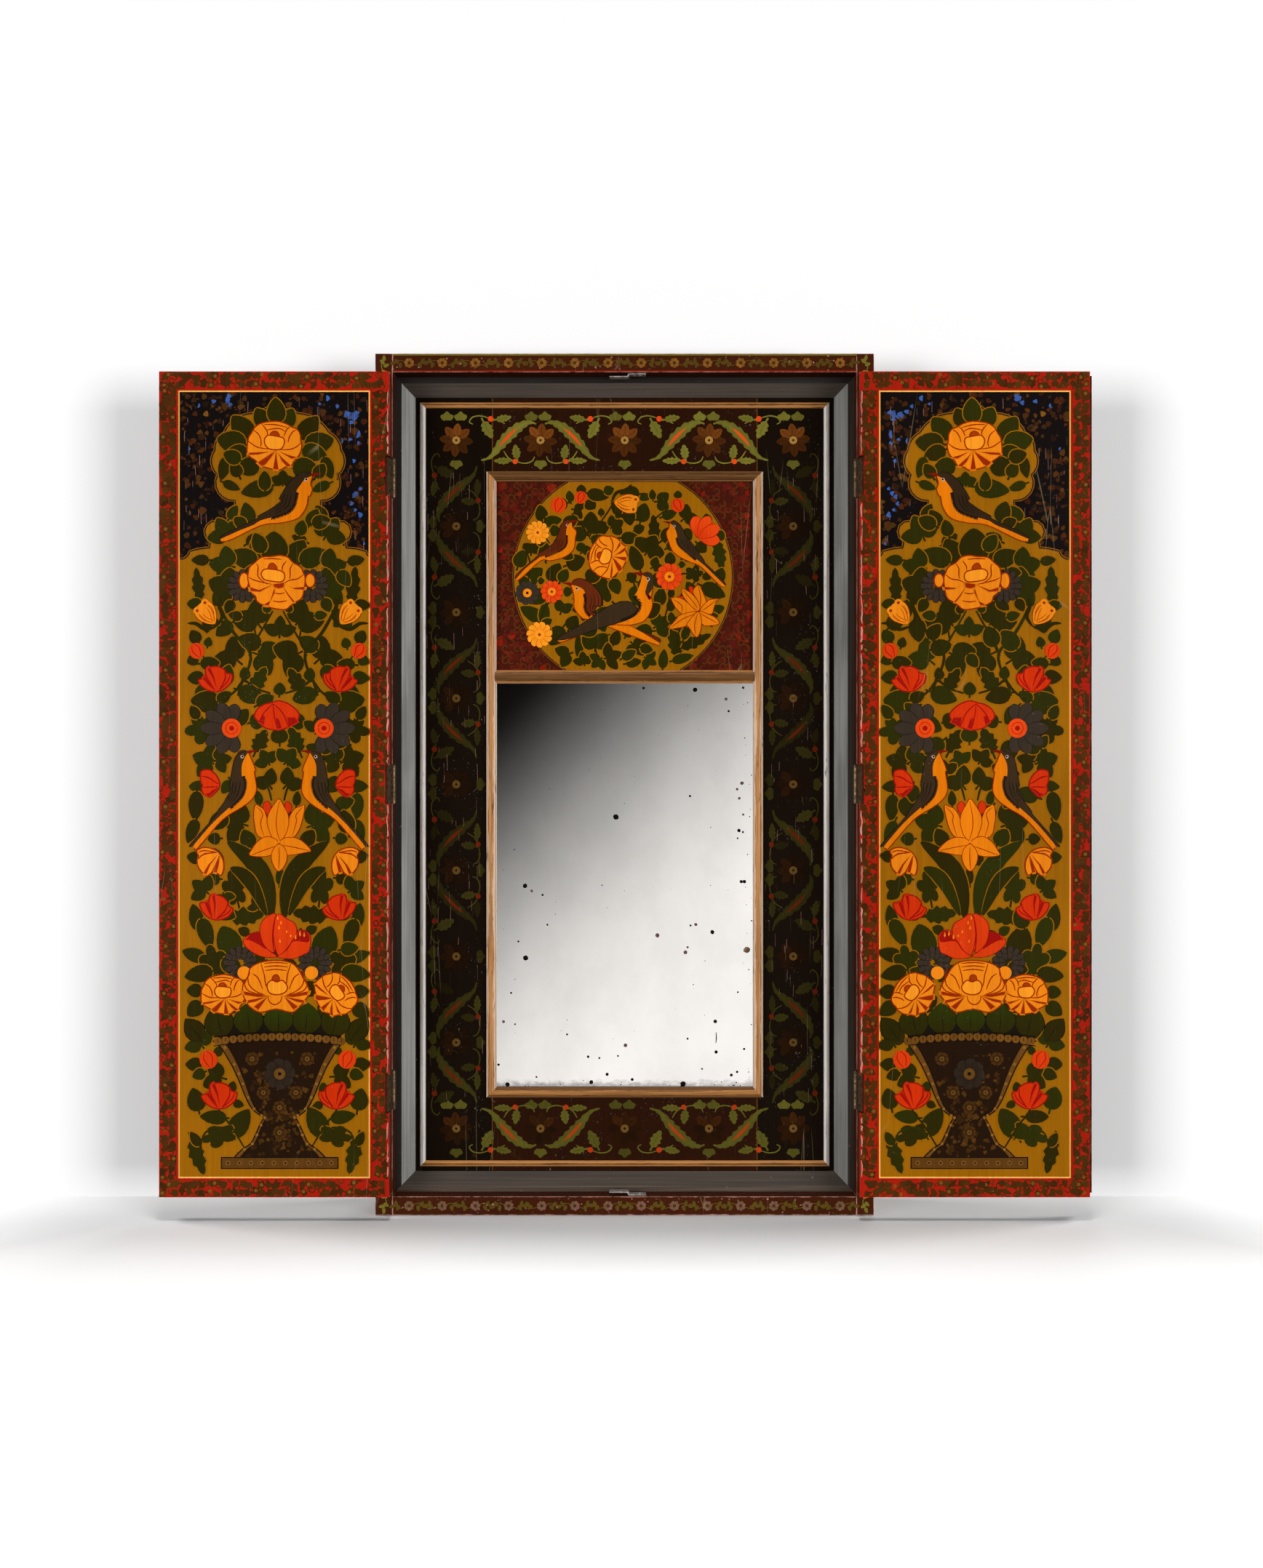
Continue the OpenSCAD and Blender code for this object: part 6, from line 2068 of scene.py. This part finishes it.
def white_stage_material(name, shade, glow):
    """White paper that keeps its shadows near the case and glows for the camera alone farther off.

    Its back, bounced light and mirrors look straight through it.
    """
    material = bpy.data.materials.new(name)
    material.use_nodes = True
    tree = material.node_tree
    tree.nodes.clear()
    path = put(tree, "LightPath")
    seen = path.outputs["Is Camera Ray"]
    paper = put(tree, "BsdfDiffuse", {"Color": (shade, shade, shade, 1)}).outputs[0]
    half = CAD_BOX[1][0]
    x, y, _ = put(tree, "SeparateXYZ", {0: put(tree, "TexCoord").outputs["Object"]}).outputs
    beside = maths(tree, "SUBTRACT", maths(tree, "ABSOLUTE", x), half)
    before = maths(tree, "SUBTRACT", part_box("case_left_side")[0].y, y)
    lit = ramp(tree, maths(tree, "MAXIMUM", beside, before), GLOW_START, GLOW_FULL, 0.0, glow)
    light = put(tree, "Emission", {"Strength": maths(tree, "MULTIPLY", seen, lit)}).outputs[0]
    sheet = put(tree, "AddShader", {0: paper, 1: light}).outputs[0]
    clear = put(tree, "BsdfTransparent").outputs[0]
    behind = put(tree, "NewGeometry").outputs["Backfacing"]
    away = maths(tree, "MAXIMUM", maths(tree, "SUBTRACT", 1.0, seen), behind)
    surface = put(tree, "MixShader", {0: away, 1: sheet, 2: clear}).outputs[0]
    tree.links.new(surface, put(tree, "OutputMaterial").inputs["Surface"])
    return material


# What the mirror sees: a room that is bright below right and dims smoothly to black above left
ROOM_BRIGHT = -0.15  # slant of the view at which the room is brightest
ROOM_DARK = 0.12  # slant of the view at which it is black
ROOM_STRENGTH = 1.1


def light_world():
    """Even studio light. Mirrors see a room that dims from white to black, and soft boxes at the sides."""
    world = bpy.data.worlds.new("studio")
    bpy.context.scene.world = world
    world.use_nodes = True
    tree = world.node_tree
    tree.nodes.clear()
    path = put(tree, "LightPath")
    x, _, z = put(tree, "SeparateXYZ", {0: put(tree, "TexCoord").outputs["Generated"]}).outputs
    slant = maths(tree, "SUBTRACT", z, x)
    ahead = mixed(tree, ramp(tree, slant, ROOM_BRIGHT, ROOM_DARK), WHITE, SOOT)
    aside = ramp(tree, maths(tree, "ABSOLUTE", x), 0.3, 0.7)
    room = mixed(tree, aside, ahead, mixed(tree, ramp(tree, x, -0.2, 0.2), (0.9, 0.9, 0.9, 1), WHITE))
    room = mixed(tree, ramp(tree, z, -0.3, -0.6), room, (0.08, 0.08, 0.08, 1))
    room = mixed(tree, ramp(tree, z, 0.3, 0.6), room, (0.4, 0.4, 0.4, 1))
    glossy = put(tree, "Background", {"Color": room, "Strength": ROOM_STRENGTH}).outputs[0]
    fill = put(tree, "Background", {"Color": (0.1, 0.1, 0.1, 1), "Strength": 1.0}).outputs[0]
    white = put(tree, "Background", {"Color": WHITE, "Strength": 1.0}).outputs[0]
    lit = put(tree, "MixShader", {0: path.outputs["Is Glossy Ray"], 1: fill, 2: glossy}).outputs[0]
    plain = maths(tree, "MAXIMUM", path.outputs["Is Camera Ray"], path.outputs["Is Transmission Ray"])
    total = put(tree, "MixShader", {0: plain, 1: lit, 2: white}).outputs[0]
    tree.links.new(total, put(tree, "OutputWorld").inputs["Surface"])


def stage_sheet(name, corners_from, material):
    """A large flat sheet of the stage, made at the origin and moved into place in its mesh."""
    bm = bmesh.new()
    bmesh.ops.create_grid(bm, x_segments=1, y_segments=1, size=0.5)
    for vert in bm.verts:
        vert.co = corners_from(vert.co.x, vert.co.y)
    mesh = bpy.data.meshes.new(name)
    bm.to_mesh(mesh)
    bm.free()
    sheet = bpy.data.objects.new(name, mesh)
    bpy.context.scene.collection.objects.link(sheet)
    mesh.materials.append(material)


def soft_lamp(name, place, target, across, power):
    """A square soft lamp turned towards a point."""
    lamp = bpy.data.lights.new(name, "AREA")
    lamp.shape, lamp.size, lamp.energy = "SQUARE", across, power
    holder = bpy.data.objects.new(name, lamp)
    holder.location = place
    holder.rotation_euler = (Vector(target) - Vector(place)).to_track_quat("-Z", "Y").to_euler()
    bpy.context.scene.collection.objects.link(holder)


class MIRRORCASE_OT_stage(bpy.types.Operator):
    """Set up the camera, the soft lamps, the floor and the white backdrop"""
    bl_idname = "mirror_case.stage"
    bl_label = "Stage"

    def execute(self, context):
        scene = context.scene
        given = lengths()
        front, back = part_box("case_left_side")[0].y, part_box("case_left_side")[1].y
        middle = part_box("case_left_side")[1].z / 2
        camera = bpy.data.cameras.new("photograph_view")
        camera.lens = camera.sensor_width * given["view_distance"] / given["view_height"]
        holder = bpy.data.objects.new("photograph_view", camera)
        right, up = VIEW_SHIFT
        holder.location = (right, front - given["view_distance"] * MM, middle + up)
        holder.rotation_euler = (math.radians(90), 0, 0)
        scene.collection.objects.link(holder)
        scene.camera = holder
        scene.view_settings.view_transform = "Standard"
        light_world()
        wall = back + 0.004
        paper = -0.0004
        floor_paper = white_stage_material("floor_paper", 0.82, 0.3)
        stage_sheet("floor", lambda x, y: (x * STAGE_WIDTH, wall - STAGE_REACH * (0.5 - y), paper),
                    floor_paper)
        wall_paper = white_stage_material("wall_paper", 0.97, 0.1)
        stage_sheet("backdrop", lambda x, y: (x * STAGE_WIDTH, wall, (y + 0.5) * STAGE_REACH + paper),
                    wall_paper)
        aim = (0, 0, middle)
        for side, hand in SIDES.items():
            soft_lamp(f"{side}_front_lamp", (-2.8 * hand, -3.3, 0.45), aim, 1.7, 114)
            soft_lamp(f"{side}_side_lamp", (-2 * hand, 0.4, 2), (0, 0, 0), 0.7, 27)
        soft_lamp("top_lamp", (0, -0.7, 5), (0, 0, 0), 0.6, 64)
        soft_lamp("back_lamp", (0.8, 2.8, 1.6), aim, 1.2, 24)
        return {"FINISHED"}


class MIRRORCASE_PT_sidebar(bpy.types.Panel):
    """Lists the mirror case's steps, colours and sizes"""
    bl_idname = "MIRRORCASE_PT_sidebar"
    bl_label = "Mirror case"
    bl_space_type = "VIEW_3D"
    bl_region_type = "UI"
    bl_category = "Mirror case"

    def draw(self, context):
        for operator in STEPS:
            self.layout.operator(operator.bl_idname)
        for group in (context.scene.case_sizes, context.scene.case_pigments):
            box = self.layout.box()
            for name in group.__annotations__:
                box.prop(group, name)


STEPS = (
    MIRRORCASE_OT_stage, MIRRORCASE_OT_boards, MIRRORCASE_OT_mouldings, MIRRORCASE_OT_mirror,
    MIRRORCASE_OT_fittings, MIRRORCASE_OT_door_grounds, MIRRORCASE_OT_door_plants, MIRRORCASE_OT_door_birds,
    MIRRORCASE_OT_panel, MIRRORCASE_OT_picture, MIRRORCASE_OT_outsides,
)
CLASSES = (CasePigments, CaseSizes, *STEPS, MIRRORCASE_PT_sidebar)


def register():
    for cls in CLASSES:
        bpy.utils.register_class(cls)
    bpy.types.Scene.case_pigments = bpy.props.PointerProperty(type=CasePigments)
    bpy.types.Scene.case_sizes = bpy.props.PointerProperty(type=CaseSizes)


def unregister():
    del bpy.types.Scene.case_sizes
    del bpy.types.Scene.case_pigments
    for cls in reversed(CLASSES):
        bpy.utils.unregister_class(cls)


def main():
    register()
    for step in STEPS:
        _, name = step.bl_idname.split(".")
        getattr(bpy.ops.mirror_case, name)()


if __name__ == "__main__":
    main()
